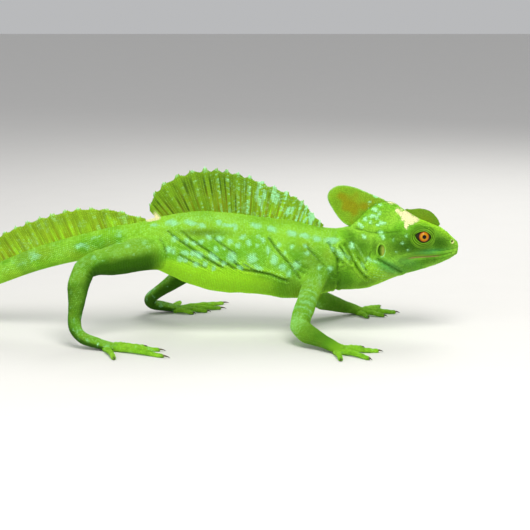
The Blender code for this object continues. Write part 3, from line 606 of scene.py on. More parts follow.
def store_paint(mesh: bpy.types.Mesh, paint: Array, chance: Any = 0.5) -> None:
    """Writes the skin's marks, painted shade and painted highlights on to a mesh.

    Args:
        mesh: the mesh.
        paint: the eight strengths of every point.
        chance: what each point's tone varies by, 0.5 for no change.
    """
    rows = paint.reshape(-1, STRENGTHS)
    store(mesh, "marks", "FLOAT_COLOR", rows[:, :4])
    store(mesh, "tints", "FLOAT_COLOR", rows[:, 4:])
    store(mesh, "chance", "FLOAT", np.broadcast_to(chance, len(rows)))


def finish_piece(piece: bpy.types.Object, slot: str, *nodes: str) -> None:
    """Hangs a finished piece on the model and reports it.

    Args:
        piece: the piece.
        slot: not used. the slot that its look belongs to.
        *nodes: the solids that it takes the place of.
    """
    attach(piece, "root")
    if nodes:
        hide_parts(*nodes)
    log.info("%s: %d faces", piece.name, len(piece.data.polygons))


def side_hit(tree: BVHTree, x: float, z: float, side: float, start: float) -> float | None:
    """How far out a surface lies at a place seen from one side, or None where it isn't.

    Args:
        tree: the surface.
        x: the place along the animal.
        z: its height.
        side: 1 for the left side and -1 for the right.
        start: how far out the look starts.

    Returns:
        The distance from the middle plane.
    """
    hit = tree.ray_cast(Vector((x, side * start, z)), Vector((0.0, -side, 0.0)))[0]
    return None if hit is None else abs(hit[1])


def lies_behind(place: Array, tree: BVHTree, slack: float, start: float = 40.0) -> Array:
    """Whether places are hidden by a surface when seen from their own side of the animal.

    Args:
        place: the places in body millimetres.
        tree: the surface.
        slack: how much further out the surface has to lie, in millimetres.
        start: how far out the look starts.

    Returns:
        True for each hidden place.
    """
    hidden = np.zeros(len(place), bool)
    for i, (x, y, z) in enumerate(place.tolist()):
        out = side_hit(tree, x, z, math.copysign(1.0, y), start)
        hidden[i] = out is not None and out > abs(y) + slack
    return hidden


@dataclass
class Paint:
    """What the skin is painted with, its marks and its painted shade and highlights alike: eight strengths,
    from 0 to 1.
    """

    mint: Any = 0.0
    lime: Any = 0.0
    dark: Any = 0.0
    bare: Any = 0.0
    cream: Any = 0.0
    olive: Any = 0.0
    teal: Any = 0.0
    orange: Any = 0.0

    def add(self, **strengths: Any) -> None:
        """Raises the named strengths to at least the given ones."""
        for name, strength in strengths.items():
            setattr(self, name, np.maximum(getattr(self, name), strength))

    def table(self, *shape: int) -> Array:
        """The eight strengths side by side, for a grid of points."""
        parts = (np.clip(getattr(self, part.name), 0, 1) for part in fields(self))
        return np.stack([np.broadcast_to(part, shape) for part in parts], axis=-1)


@dataclass
class Roots:
    """Where scales stand: their places, directions, sizes, paint and places on the bake map."""

    place: Array
    forward: Array
    normal: Array
    size: Array
    paint: Array
    patch: Array

    @classmethod
    def join(cls, parts: Sequence["Roots"]) -> "Roots":
        """Several sets as one."""
        return cls(*(np.concatenate(column) for column in zip(*(vars(part).values() for part in parts))))

    def keep(self, wanted: Array) -> "Roots":
        """Only the wanted ones."""
        return Roots(*(column[wanted] for column in vars(self).values()))


@dataclass
class Surface:
    """A stretch of skin as rings of points, with the paint on each point."""

    points: Array
    closed: bool = True
    paint: Array | None = None

    def directions(self) -> tuple[Array, Array]:
        """Unit vectors along the rings' own line and out of the skin."""
        along = np.gradient(self.points, axis=0)
        if self.closed:
            around = np.roll(self.points, -1, axis=1) - np.roll(self.points, 1, axis=1)
        else:
            around = np.gradient(self.points, axis=1)
        normal = unit(np.cross(around, along))
        if self.closed and np.sum(normal * (self.points - self.points.mean(axis=1, keepdims=True))) < 0:
            normal = -normal
        return unit(along), normal

    def read(self, table: Array, row: Array, side: Array) -> Array:
        """A table of the surface's own shape read between its points.

        Args:
            table: one value or vector for each of the surface's points.
            row: places along the rings.
            side: places round them.

        Returns:
            One row for each place.
        """
        rows, sides = table.shape[:2]
        row = np.clip(row, 0, rows - 1.001)
        side = side % sides if self.closed else np.clip(side, 0, sides - 1.001)
        r, s = np.floor(row).astype(int), np.floor(side).astype(int)
        fr, fs = (row - r)[:, None], (side - s)[:, None]
        after = (s + 1) % sides
        near = table[r, s] * (1 - fs) + table[r, after] * fs
        far = table[r + 1, s] * (1 - fs) + table[r + 1, after] * fs
        return near * (1 - fr) + far * fr

    def roots(self, row: Array, side: Array, size: Any, patch: Array, upright: bool = False) -> Roots:
        """Roots of scales that stand on the surface.

        Args:
            row: places along the rings.
            side: places round them.
            size: length, width and height of the scales.
            patch: their places on the bake map.
            upright: whether they point round the rings instead of along them.

        Returns:
            The roots.
        """
        along, normal = self.directions()
        way = np.gradient(self.points, axis=1) if upright else along
        size = np.broadcast_to(size, (len(row), 3))
        out = unit(self.read(normal, row, side))
        place, paint = self.read(self.points, row, side), self.read(self.paint, row, side)
        return Roots(place, self.read(way, row, side), out, size, paint, patch)

    def mesh_data(self) -> tuple[Array, Faces]:
        """Points and faces of the closed tube, each end capped."""
        rings, sides = self.points.shape[:2]
        return self.points.reshape(-1, 3), ring_faces(rings, sides) + caps(rings, sides)


@dataclass
class Spine:
    """The centre line of neck, torso and tail, with a frame and half sizes along it."""

    fineness: int = 1200
    level_end: float = 22.0
    level_length: float = 14.0

    def __post_init__(self) -> None:
        """Reads the body's table into fine ones."""
        rows = np.array(BODY, float)
        rough = distance_along(rows[:, :3])
        table = smooth_values(np.column_stack([rough, rows]), np.linspace(0, rough[-1], self.fineness))
        self.along = distance_along(table[:, :3])
        self.centre, self.half = table[:, :3], table[:, 3:]
        level = np.clip((self.level_end - self.along) / self.level_length, 0, 1)[:, None]
        back = unit(np.gradient(self.centre, axis=0)) * (1 - level) + np.array([-1.0, 0.0, 0.0]) * level
        self.back = unit(back)
        self.side = unit(np.cross(self.back, UP))
        self.up = np.cross(self.side, self.back)
        self.length = float(self.along[-1])

    def at(self, table: Array, distance: Array) -> Array:
        """Any of the tables above at some distances."""
        return read_table(table, self.along, distance)

    def distance_at_x(self, x: float) -> float:
        """Distance along the body where its centre line passes x."""
        return float(np.interp(-x, -self.centre[:, 0], self.along))

    def ring(self, distance: float, angles: Array) -> Array:
        """Points round the body.

        Args:
            distance: how far along the body.
            angles: the points' angles from the top.

        Returns:
            The points.
        """
        place = np.array([distance])
        centre, side, up = (self.at(t, place)[0] for t in (self.centre, self.side, self.up))
        height, width = self.at(self.half, place)[0]
        across = width * np.sin(angles) * (1 - BELLY_FULLNESS * np.cos(angles))
        return centre + across[:, None] * side + (height * np.cos(angles))[:, None] * up

    def ridge(self, distance: Array, sink: float) -> Array:
        """Points along the top of the back, sunk by some depth."""
        half = self.at(self.half, distance)
        return self.at(self.centre, distance) + self.at(self.up, distance) * (half[:, 0:1] - sink)


def part_way(share: float, start: float, end: float) -> float:
    """A value between two others."""
    return start + (end - start) * share


def head_section(station: Array, groove: float) -> Array:
    """Half of a head's cross-section.

    Args:
        station: a row of the head's table without its x.
        groove: depth of the mouth's line.

    Returns:
        Corners from crown to throat, as rows of half width and height.
    """
    top, crown, brow_z, brow, cheek, lip, mouth, bottom = station
    lift = min(LIP_HEIGHT, 0.16 * (mouth - bottom))
    seam = min(0.28, 0.3 * lift)
    upper = [
        (0.0, top),
        (crown * 0.6, top - 0.25),
        (crown, part_way(0.14, top, brow_z)),
        (part_way(0.30, crown, brow), part_way(0.46, top, brow_z)),
        (part_way(0.62, crown, brow), part_way(0.76, top, brow_z)),
        (brow, brow_z),
        (part_way(0.55, brow, cheek), part_way(0.16, brow_z, mouth)),
        (part_way(0.92, brow, cheek), part_way(0.38, brow_z, mouth)),
        (cheek, part_way(0.60, brow_z, mouth)),
        (part_way(0.55, cheek, lip), part_way(0.78, brow_z, mouth)),
    ]
    lips = [
        (lip + 0.15, mouth + lift),
        (lip + 0.05, mouth + seam),
        (lip - groove, mouth),
        (lip - 0.02, mouth - seam),
        (lip - 0.10, mouth - lift * 0.8),
    ]
    under = ((0.93, 0.34), (0.80, 0.60), (0.58, 0.82), (0.30, 0.96), (0.0, 1.0))
    return np.array(upper + lips + [(lip * wide, part_way(low, mouth, bottom)) for wide, low in under])


def both_sides(x: float, half: Array) -> Array:
    """A whole ring at x from its left half."""
    left = np.column_stack([np.full(len(half), x), half])
    return np.vstack([left, left[1:-1][::-1] * (1, -1, 1)])


@dataclass
class Trunk:
    """Head, neck, torso and tail as two surfaces, with their folds, markings and painted shade and
    highlights.
    """

    spine: Spine
    head_step: float = 0.62
    torso_step: float = 1.0
    tail_step: float = 2.0
    collar_overlap: float = 6.0
    melt: float = 40.0
    offset_melt: float = 14.0

    def __post_init__(self) -> None:
        """Builds both surfaces, then folds and paints them."""
        self.front = Surface(np.concatenate([self._head_rings(), self._torso_rings()]))
        self.front.points = self._folded(self.front)
        hip = self.spine.distance_at_x(HIP_X)
        steps = np.arange(hip + self.tail_step, self.spine.length, self.tail_step)
        tail = np.array([self.spine.ring(d, circle(HALF)) for d in steps])
        self.rear = Surface(np.concatenate([self.front.points[-1:, ::2], tail]))
        self.rear.points[..., 2] = np.maximum(self.rear.points[..., 2], 0.0)
        for surface in (self.front, self.rear):
            surface.paint = self._painted(surface).table(*surface.points.shape[:2])
        reach = self.front.points[..., 0].mean(axis=1)
        ends = (COLLAR_X + self.collar_overlap, COLLAR_X - self.collar_overlap)
        self.collar_rings = [int(np.argmax(reach < end)) for end in ends]
        self.nearest = point_tree(self.front.points)
        self.bvh = ring_tree(self.front.points)

    def _half_ring(self, x: float) -> Array:
        """The left half of the head's outline at x, at every step from crown to throat."""
        station = smooth_values(HEAD, x)[0]
        groove = MOUTH_GROOVE * np.clip((x - MOUTH_CORNER_X) / 3.0, 0, 1) * np.clip((130.4 - x) / 2.0, 0, 1)
        keys = head_section(station, min(groove, station[5] * 0.3))
        places = np.concatenate([[0], np.cumsum(KEY_STEPS)])
        half = smooth_values(np.column_stack([places, keys]), np.arange(HALF + 1))
        half[:, 0] = np.maximum(half[:, 0], 0.0)
        past = max(0.0, (x - HEAD[-1, 0]) / (SNOUT_TIP[0] - HEAD[-1, 0]))
        tip = np.array([0, SNOUT_TIP[2]])
        half = tip + (half - tip) * math.sqrt(max(0.0, 1 - past**2))
        across = np.hypot(x - EYE_CENTRE[0], half[:, 1] - EYE_CENTRE[2])
        swell = np.clip(1 - (across / ORBIT_RADIUS) ** 2, 0, 1) ** 1.2
        half[:, 0] += ORBIT_SWELL * swell * rise(1.0, 4.0, half[:, 0])
        return half

    def _head_rings(self) -> Array:
        """Rings of the head from the snout's tip back to the nape."""
        last = HEAD[-1, 0]
        tip = last + (SNOUT_TIP[0] - last) * np.sin(np.radians([84, 70, 55, 40, 25, 12]))
        rest = np.linspace(last, NAPE_X, round((last - NAPE_X) / self.head_step))
        return np.array([both_sides(x, self._half_ring(float(x))) for x in np.concatenate([tip, rest])])

    def _torso_rings(self) -> Array:
        """Rings of neck and torso, shaped on from the nape and ending at the hips."""
        spine = self.spine
        start, end = spine.distance_at_x(NAPE_X), spine.distance_at_x(HIP_X)
        half = self._half_ring(NAPE_X)
        centre = spine.at(spine.centre, np.array([start]))[0]
        height = spine.at(spine.half, np.array([start]))[0, 0]
        nape_angles = np.arccos(np.clip((half[:, 1] - centre[2]) / height, -1, 1))
        nape_angles = np.concatenate([nape_angles, 2 * math.pi - nape_angles[1:-1][::-1]])
        left_over = both_sides(NAPE_X, half) - spine.ring(start, nape_angles)
        rings = []
        for d in np.linspace(start, end, round((end - start) / self.torso_step) + 1)[1:]:
            share = float(rise(0, self.melt, d - start))
            angles = nape_angles * (1 - share) + circle(2 * HALF) * share
            faded = 1 - float(rise(0, self.offset_melt, d - start))
            rings.append(spine.ring(d, angles) + left_over * faded)
        return np.array(rings)

    def _folded(self, surface: Surface) -> Array:
        """The surface's points with creases, swellings, socket, ear and nostril worked in."""
        points = surface.points
        normal = surface.directions()[1]
        x, y, z = np.moveaxis(points, -1, 0)
        flank = rise(0.15, 0.55, np.abs(normal[..., 1]))
        wx, wz = x + 0.9 * ripple(points, 9.0, 3.0), z + 0.9 * ripple(points, 9.0, 8.0)
        move = np.zeros_like(x)
        for crease in CREASES:
            away = line_distance(wx, wz, crease.line)
            cut = bell(away, crease.width) - 0.5 * bell(away - 2.0 * crease.width, crease.width * 0.9)
            move -= crease.depth * cut * np.maximum(flank, 0.55 * rise(40, 30, z) * (crease.depth > 1.2))
        for ridge in RIDGES:
            move += ridge.depth * bell(line_distance(wx, wz, ridge.line), ridge.width) * flank
        for swelling in SWELLINGS:
            move += swelling.strength * patches(x, z, [swelling._replace(strength=1.0)], 1.2) * flank
        move += 0.30 * ripple(points, 7.0, 1.0) * rise(64, 50, x) + 0.14 * ripple(points, 2.6, 5.0)
        socket = np.hypot(x - EYE_CENTRE[0], z - EYE_CENTRE[2])
        at_eye = rise(3.0, 6.0, np.abs(y))
        move -= at_eye * (1.7 * rise(8.3, 6.3, socket) + 4.5 * rise(5.2, 4.2, socket))
        ear = np.hypot((x - EAR_CENTRE[0]) / EAR_SIZE[0], (z - EAR_CENTRE[1]) / EAR_SIZE[1])
        move -= flank * 2.9 * rise(1.25, 0.95, ear)
        move -= 1.3 * rise(1.3, 0.8, np.hypot(x - NOSTRIL[0], z - NOSTRIL[1]))
        move += 0.22 * rise(0.35, 0.6, self._cream(points))
        return points + normal * move[..., None]

    @staticmethod
    def _cream(points: Array) -> Array:
        """Where old skin is still peeling, with a ragged edge, and less of it on the left."""
        x, y, z = np.moveaxis(points, -1, 0)
        ragged = ripple(points, 1.9, 4.0) * 1.1
        near = patches(x + ragged, z + ragged * 0.7, CREAM_PATCHES, 4.0)
        near = near * np.where(x < 0, rise(6.2, 3.6, np.abs(y) + ragged), 1.0)
        return near * np.where(y < 0.5, 1.0, rise(0.1, 0.5, ripple(points, 5.0, 9.0)))

    def _painted(self, surface: Surface) -> Paint:
        """The markings of the whole trunk: spots, belly, face and tail, with painted shade in the creases and
        dark ovals, and painted highlight on the ridges and jowl.
        """
        points = surface.points
        x, z = points[..., 0], points[..., 2]
        normal = surface.directions()[1]
        flank = rise(0.25, 0.6, np.abs(normal[..., 1]))
        body = rise(66, 56, x)
        paint = Paint()
        self._paint_spots(paint, points, flank, normal[..., 2])
        belly_line = np.interp(x, BELLY_X, BELLY_Z)
        middle = z.mean(axis=1, keepdims=True)
        half = np.maximum(np.ptp(z, axis=1), 0.5)[:, None] / 2
        tailward = rise(-58, -84, x)
        under = rise(-1.5, 4.5, belly_line - z) * (1 - tailward)
        under += rise(0.0, 0.95, (middle - z) / half) * tailward
        paint.add(lime=under * np.interp(x, [-90, -45, 5, 25, 60, 90], [0.35, 1.0, 1.0, 0.35, 0.45, 0.6]))
        paint.add(lime=0.85 * bell(line_distance(x, z, CANTHUS), 1.7) * rise(96, 101, x))
        casque = patches(x, z, CASQUE, 1.6) * rise(64, 68, x)
        # Lime on the casque; on the jowl's swelling the lime is partly painted highlight.
        paint.add(lime=np.maximum(0.30 * casque, 0.60 * patches(x, z, JOWL, 1.5)) * flank)
        saddle = patches(x, z, SADDLE, 1.6) * body
        paint.add(lime=0.45 * saddle, mint=0.30 * saddle)
        paint.add(mint=0.17 * rise(-0.5, 0.1, normal[..., 2]) * rise(62, 50, x))
        back = bell(normal[..., 2] - 0.72, 0.26) * rise(66, 50, x) * rise(-150, -50, x)
        paint.add(lime=0.55 * back, mint=0.26 * back, olive=rise(0.55, 0.95, normal[..., 2]) * 0.20 * body)
        paint.add(olive=0.5 * rise(0.0, 0.6, ripple(points, 14.0, 21.0)) * rise(60, 50, x))
        bands = rise(0.1, 0.8, np.sin(distance_along(points.mean(axis=1)) / 4.2))[:, None]
        # The skin's darker greens and painted shade, from the table of dark ovals.
        paint.add(dark=patches(x, z, DARK_MARKS_AND_PAINTED_SHADE, 1.6) * flank)
        paint.add(dark=0.42 * bands * rise(-95, -150, x))
        # Painted shade along every crease.
        for crease in CREASES:
            paint.add(dark=0.8 * bell(line_distance(x, z, crease.line), crease.width * 0.8) * flank)
        for ridge in RIDGES[2:]:
            lit = bell(line_distance(x, z, ridge.line), ridge.width * 1.1) * flank
            paint.add(lime=0.8 * lit, mint=0.30 * lit)
        paint.add(teal=patches(x, z, TEAL_PATCHES, 2.0) * flank, cream=rise(0.35, 0.6, self._cream(points)))
        rows = np.sin(2 * math.pi * (z + 0.23 * (x - 75)) / 1.7) * patches(x, z, THROAT, 2.0)
        paint.add(olive=0.9 * rise(0.0, 0.7, rows), mint=0.35 * rise(0.0, 0.8, -rows))
        mouth = bell(z - np.interp(x, *MOUTH_LINE) + 0.25, 0.5) * rise(99, 103, x) * rise(121, 117, x)
        paint.add(bare=0.8 * mouth * flank)
        return paint

    @staticmethod
    def _paint_spots(paint: Paint, points: Array, flank: Array, facing_up: Array) -> None:
        """Mint spots on flank and head with painted highlights on the jowl, dashes that carry the spots on
        along the tail, and specks.

        Args:
            paint: the paint they are added to.
            points: the skin.
            flank: how much each point belongs to the animal's side.
            facing_up: height of the skin's normal.
        """
        x, y, z = np.moveaxis(points, -1, 0)
        wx = x + ripple(points, 3.0, 2.0) * 0.9 + np.where(y > 0, 2.4, 0.0)
        wz = z + ripple(points, 3.0, 6.0) * 0.8
        spots = patches(wx, wz, MINT_SPOTS, 1.7) * rise(70, 62, x)
        # Spots on the head, with three painted highlights on the jowl.
        spots = np.maximum(spots, patches(wx, wz, HEAD_SPOTS_AND_JOWL_HIGHLIGHTS, 1.7) * rise(58, 64, x))
        beat = rise(0.12, 0.42, ripple(points, 4.6, 31.0))
        dashes = 0.8 * beat * bell(facing_up - 0.35, 0.40) * rise(-54, -62, x) * rise(-170, -110, x)
        specks = rise(0.34, 0.6, ripple(points, 1.7, 12.0)) * rise(0.0, 0.5, ripple(points, 11.0, 15.0))
        paint.mint = np.maximum(spots * flank, dashes) + 0.24 * specks * rise(75, 60, x)


def carried_frames(line: Array) -> tuple[Array, Array]:
    """Side and up along a line, carried without twisting and level at its end."""
    forward = unit(np.gradient(line, axis=0))
    side = np.zeros_like(forward)
    side[-1] = unit(np.cross(forward[-1], UP))
    for i in range(len(line) - 2, -1, -1):
        side[i] = unit(side[i + 1] - forward[i] * (side[i + 1] @ forward[i]))
    return side, np.cross(side, forward)


def rounded_line(corners: Sequence[Sequence[float]], bend: float, step: float = 0.5) -> Array:
    """Evenly spaced points along straight runs with each inner corner rounded off.

    Args:
        corners: the ends and corners.
        bend: how far before and after a corner the rounding reaches.
        step: distance between points.

    Returns:
        The points.
    """
    corners = np.array(corners, float)
    line = [corners[0]]
    for before, corner, after in zip(corners[:-2], corners[1:-1], corners[2:]):
        reach = min(bend, 0.46 * np.linalg.norm(corner - before), 0.46 * np.linalg.norm(after - corner))
        start = corner + unit(before - corner) * reach
        end = corner + unit(after - corner) * reach
        t = np.linspace(0, 1, 13)[:, None]
        line += list((1 - t) ** 2 * start + 2 * t * (1 - t) * corner + t**2 * end)
    line = np.array(line + [corners[-1]])
    along = distance_along(line)
    return read_table(line, along, np.linspace(0, along[-1], max(8, round(along[-1] / step))))


def tube(centre: Array, across: Array, above: Array, wide: Array, tall: Array, sides: int) -> Array:
    """Rings round a centre line.

    Args:
        centre: the line's points.
        across: direction of each ring's width.
        above: direction of each ring's height.
        wide: half widths.
        tall: half heights.
        sides: points round each ring.

    Returns:
        The rings' points.
    """
    turn = circle(sides)
    level = (wide[:, None] * np.cos(turn))[..., None] * across[:, None]
    return centre[:, None] + level + (tall[:, None] * np.sin(turn))[..., None] * above[:, None]


@dataclass
class LimbShape:
    """One limb's skin, flared on to the trunk, with its five digits and their claws."""

    name: str
    plan: LimbPlan
    trunk: Trunk
    sides: int = 40
    ring_step: float = 1.1
    joint_bend: float = 13.0
    end_rings: int = 7
    end_share: float = 0.024
    end_reach: float = 0.0245
    fold_beat: float = 2.6
    fold_height: float = 0.22
    flare_reach: float = 0.75
    flare_sink: float = 0.45
    plug_size: float = 0.55
    plug_depth: float = 4.0
    flare_rings: int = 18
    melt_rings: int = 34
    digit_sides: int = 16
    digit_rings: int = 29
    digit_radius: float = 1.45
    digit_arch: float = 0.9
    digit_apart: float = 0.62
    digit_sunk: float = 2.0
    digit_sunk_aside: float = 1.5
    digit_joints: tuple[float, ...] = (0.30, 0.52, 0.70)
    digit_round: tuple[float, ...] = (0.872, 0.882, 0.89, 0.896, 0.9)
    digit_end: float = 0.86
    digit_end_reach: float = 0.041
    claw_start: float = 0.84
    claw_rings: int = 12
    claw_sides: int = 10
    toward_end: float = 1e-3

    def __post_init__(self) -> None:
        """Builds the limb from its plan."""
        plan = self.plan
        self.mirror = 1 if self.name.startswith("left") else -1
        line = rounded_line((plan.root, plan.bend, plan.wrist, plan.knuckle), self.joint_bend)
        along = distance_along(line)
        self.length = along[-1]
        start = self._exit_share(line, along)
        count = round((1 - start) * self.length / self.ring_step)
        past_end = np.linspace(0.1, 1, self.end_rings) * self.end_share
        share = np.concatenate([np.linspace(start, 1, count), 1 + past_end])
        inner = np.clip(share, 0, 1)
        tables = (line, *carried_frames(line))
        centre, across, above = (read_table(table, along / self.length, inner) for table in tables)
        centre = centre + (share - inner)[:, None] * self.length * unit(line[-1] - line[-3])
        half = smooth_values(plan.thickness, inner)
        half *= np.sqrt(np.clip(1 - (np.clip(share - 1, 0, 1) / self.end_reach) ** 2, 0.01, 1))[:, None]
        rings = self._muscled(tube(centre, unit(across), unit(above), *half.T, self.sides), share)
        inward = -unit(np.subtract(plan.bend, plan.root) + unit(line[-1] - line[0]) * self.toward_end)
        rings = np.concatenate([self._flare(rings[0], Vector(inward)), rings])
        level = distance_along(rings[:, self.sides // 4])[:, None]
        self.folds = np.sin(level * self.fold_beat) * rise(1.5, 4.0, level) * rise(18.0, 10.0, level)
        rings = rings + Surface(rings).directions()[1] * (self.fold_height * self.folds)[..., None]
        rings[..., 2] = np.maximum(rings[..., 2], 0.0)
        self.share = np.concatenate([np.full(len(rings) - len(share), share[0]), share])
        self.surface = Surface(rings)
        self.surface.paint = self._painted().table(*rings.shape[:2])
        self._melt_paint(rise(1.5, 16.0, level - level[1])[: self.melt_rings, :, None])
        self.digits: list[Surface] = []
        self.claws: list[tuple[Array, Faces]] = []
        self._make_digits()

    def _exit_share(self, line: Array, along: Array) -> float:
        """Share of the limb at which it stands clear of the trunk.

        Args:
            line: points along the limb's middle.
            along: their distances from the first.

        Returns:
            The share.
        """
        thickness = smooth_values(self.plan.thickness, along / along[-1]).max(axis=1)
        for number, (point, radius) in enumerate(zip(line, thickness)):
            near, _, _, gap = self.trunk.bvh.find_nearest(Vector(point))
            clear = abs(point[1]) > abs(near[1]) or point[2] < near[2]
            outside = (Vector(point) - near).length if clear else -gap
            if outside > radius * 0.8 + 1.0:
                return float(along[number] / along[-1])
        return 0.3

    def _flare(self, ring: Array, inward: Vector) -> Array:
        """Rings that spread the limb's root smoothly on to the trunk's skin.

        Args:
            ring: the limb's first ring, clear of the trunk.
            inward: the direction from that ring to the trunk.

        Returns:
            The rings, from the trunk to that ring.
        """
        tree = self.trunk.bvh
        centre = ring.mean(axis=0)
        hit, normal, _, _ = tree.ray_cast(Vector(centre), inward)
        if hit is None:
            hit, normal, _, _ = tree.find_nearest(Vector(centre))
        middle, normal = np.array(hit), np.array(normal)
        if normal @ (centre - middle) < 0:
            normal = -normal
        radius = np.linalg.norm(ring - centre, axis=1).mean()
        knees, feet = [], []
        for point in ring:
            knee, _, _, gap = tree.ray_cast(Vector(point), inward)
            if knee is None or gap > 3.0 * radius:
                knee = tree.find_nearest(Vector(point) + inward * radius * 0.5)[0]
            knee = np.array(knee)
            away = knee - middle
            away = unit(away - normal * (away @ normal))
            foot, skin, _, _ = tree.find_nearest(Vector(knee + away * radius * self.flare_reach))
            skin = np.array(skin) * (1 if np.array(skin) @ normal > 0 else -1)
            knees.append(knee)
            feet.append(np.array(foot) - skin * self.flare_sink)
        knees, feet = self._evened(np.array(knees)), self._evened(np.array(feet))
        rings = [middle + (feet - middle) * self.plug_size - normal * self.plug_depth]
        for t in np.linspace(0, 1, self.flare_rings, endpoint=False):
            rings.append((1 - t) ** 2 * feet + 2 * t * (1 - t) * knees + t**2 * ring)
        return np.array(rings)

    @staticmethod
    def _evened(loop: Array) -> Array:
        """A closed loop of points with its small kinks smoothed out."""
        for _ in range(4):
            loop = 0.5 * loop + 0.25 * (np.roll(loop, 1, axis=0) + np.roll(loop, -1, axis=0))
        return loop

    def _muscled(self, rings: Array, share: Array) -> Array:
        """Rings with muscles, a knobbed and wrinkled joint and a little unevenness.

        Args:
            rings: the plain limb.
            share: how far along the limb each ring lies.

        Returns:
            The shaped rings.
        """
        centre = rings.mean(axis=1, keepdims=True)
        out = unit(rings - centre)
        root, bend, wrist = (np.array(corner, float) for corner in self.plan[:3])
        self.bend_share = float(share[np.argmin(np.linalg.norm(centre[:, 0] - bend, axis=1))])
        facing = out @ unit(-unit(root - bend) - unit(wrist - bend))
        at_bend = (share - self.bend_share)[:, None]
        move = 0.95 * bell(at_bend, 0.030) * rise(0.3, 1.0, facing)
        move -= 0.7 * bell(at_bend, 0.022) * rise(-0.2, -0.9, facing)
        move += 0.20 * np.sin(at_bend * self.length * 2.3) * bell(at_bend, 0.06) * rise(0.4, -0.4, facing)
        move += 0.75 * bell(at_bend - 0.10, 0.055) * rise(0.1, 0.9, facing)
        move += 0.6 * bell(at_bend + 0.16, 0.08) * rise(-0.1, -0.8, facing)
        move += 0.22 * bell(share[:, None] - 0.90, 0.05) * rise(0.5, 1.0, out[..., 2])
        move += 0.13 * ripple(rings, 2.4, 7.0) + 0.25 * ripple(rings, 8.0, 2.0)
        return rings + out * (move * rise(1.02, 0.97, share)[:, None])[..., None]

    def _painted(self) -> Paint:
        """Markings, painted shade and painted highlights from shoulder or hip to the knuckles."""
        points = self.surface.points
        normal = self.surface.directions()[1]
        facing_up, forward = normal[..., 2], normal[..., 0]
        share = self.share[:, None]
        blot = ripple(points, 4.0, 14.0)
        paint = Paint(olive=0.35 * rise(0.0, 0.6, blot))
        if self.name.endswith("arm"):
            bands = rise(0.2, 0.8, np.sin(share * self.length * 1.5) + 0.9 * blot)
            upper = rise(0.56, 0.46, share)
            elbow = bell(share - self.bend_share, 0.10) * rise(0.9, 0.0, forward)
            paint.mint = upper * (0.22 + 0.26 * bands) * rise(-0.6, 0.4, facing_up + 0.6 * blot)
            paint.lime = 0.35 * upper + 0.5 * rise(0.86, 0.97, share)
            # Painted highlight: mint on the crests of the folds round the shoulder, and a mint tint round the
            # elbow.
            paint.add(mint=np.maximum(0.6 * rise(0.2, 0.9, self.folds + 0.3 * blot), 0.40 * elbow))
            paint.add(lime=0.40 * elbow)
            paint.dark = 0.30 + 0.35 * rise(0.46, 0.66, share + 0.05 * blot) * rise(1.0, 0.80, share)
            paint.dark = paint.dark * (1 - 0.7 * elbow)
        else:
            # Painted shade and light: the leg darkens where its skin faces down, and the thigh turns lime
            # where it faces up.
            paint.dark = 0.25 + 0.75 * rise(0.60, -0.2, facing_up) + 0.10 * bell(share - 0.28, 0.2)
            paint.lime = 0.5 * rise(0.0, 0.8, facing_up) * rise(0.55, 0.3, share)
            paint.lime += 0.4 * rise(0.86, 0.97, share)
            specks = rise(0.25, 0.5, ripple(points, 3.2, 19.0))
            paint.mint = 0.7 * specks * rise(0.05, 0.5, facing_up) * rise(0.6, 0.4, share)
            paint.add(mint=0.22 * rise(-0.1, 0.6, facing_up))
            paint.mint += 0.4 * specks * rise(0.5, 0.7, share)
        return paint

    def _melt_paint(self, melt: Array) -> None:
        """Lets the trunk's paint run on over the limb's first rings."""
        near = self.surface.points[: self.melt_rings]
        under = [self.trunk.nearest.find(point)[1] for point in near.reshape(-1, 3).tolist()]
        trunk_paint = self.trunk.front.paint.reshape(-1, STRENGTHS)[under].reshape(*near.shape[:2], STRENGTHS)
        own = self.surface.paint[: self.melt_rings]
        self.surface.paint[: self.melt_rings] = trunk_paint * (1 - melt) + own * melt

    def _make_digits(self) -> None:
        """Fingers or toes laid along the floor, each with its claw."""
        plan = self.plan
        across = smooth_values(plan.thickness, 1.0)[0, 0]
        heading = math.radians(plan.heading)
        inward = np.array([math.sin(heading), -math.cos(heading), 0.0]) * self.mirror
        forward = np.array([math.cos(heading), math.sin(heading), 0.0])
        for number, digit in enumerate(plan.digits):
            place = 1 - number / 2
            root = np.array(plan.knuckle) + inward * place * across * self.digit_apart
            sunk = self.digit_sunk + abs(place) * self.digit_sunk_aside
            self._make_digit(root - forward * sunk, *digit)

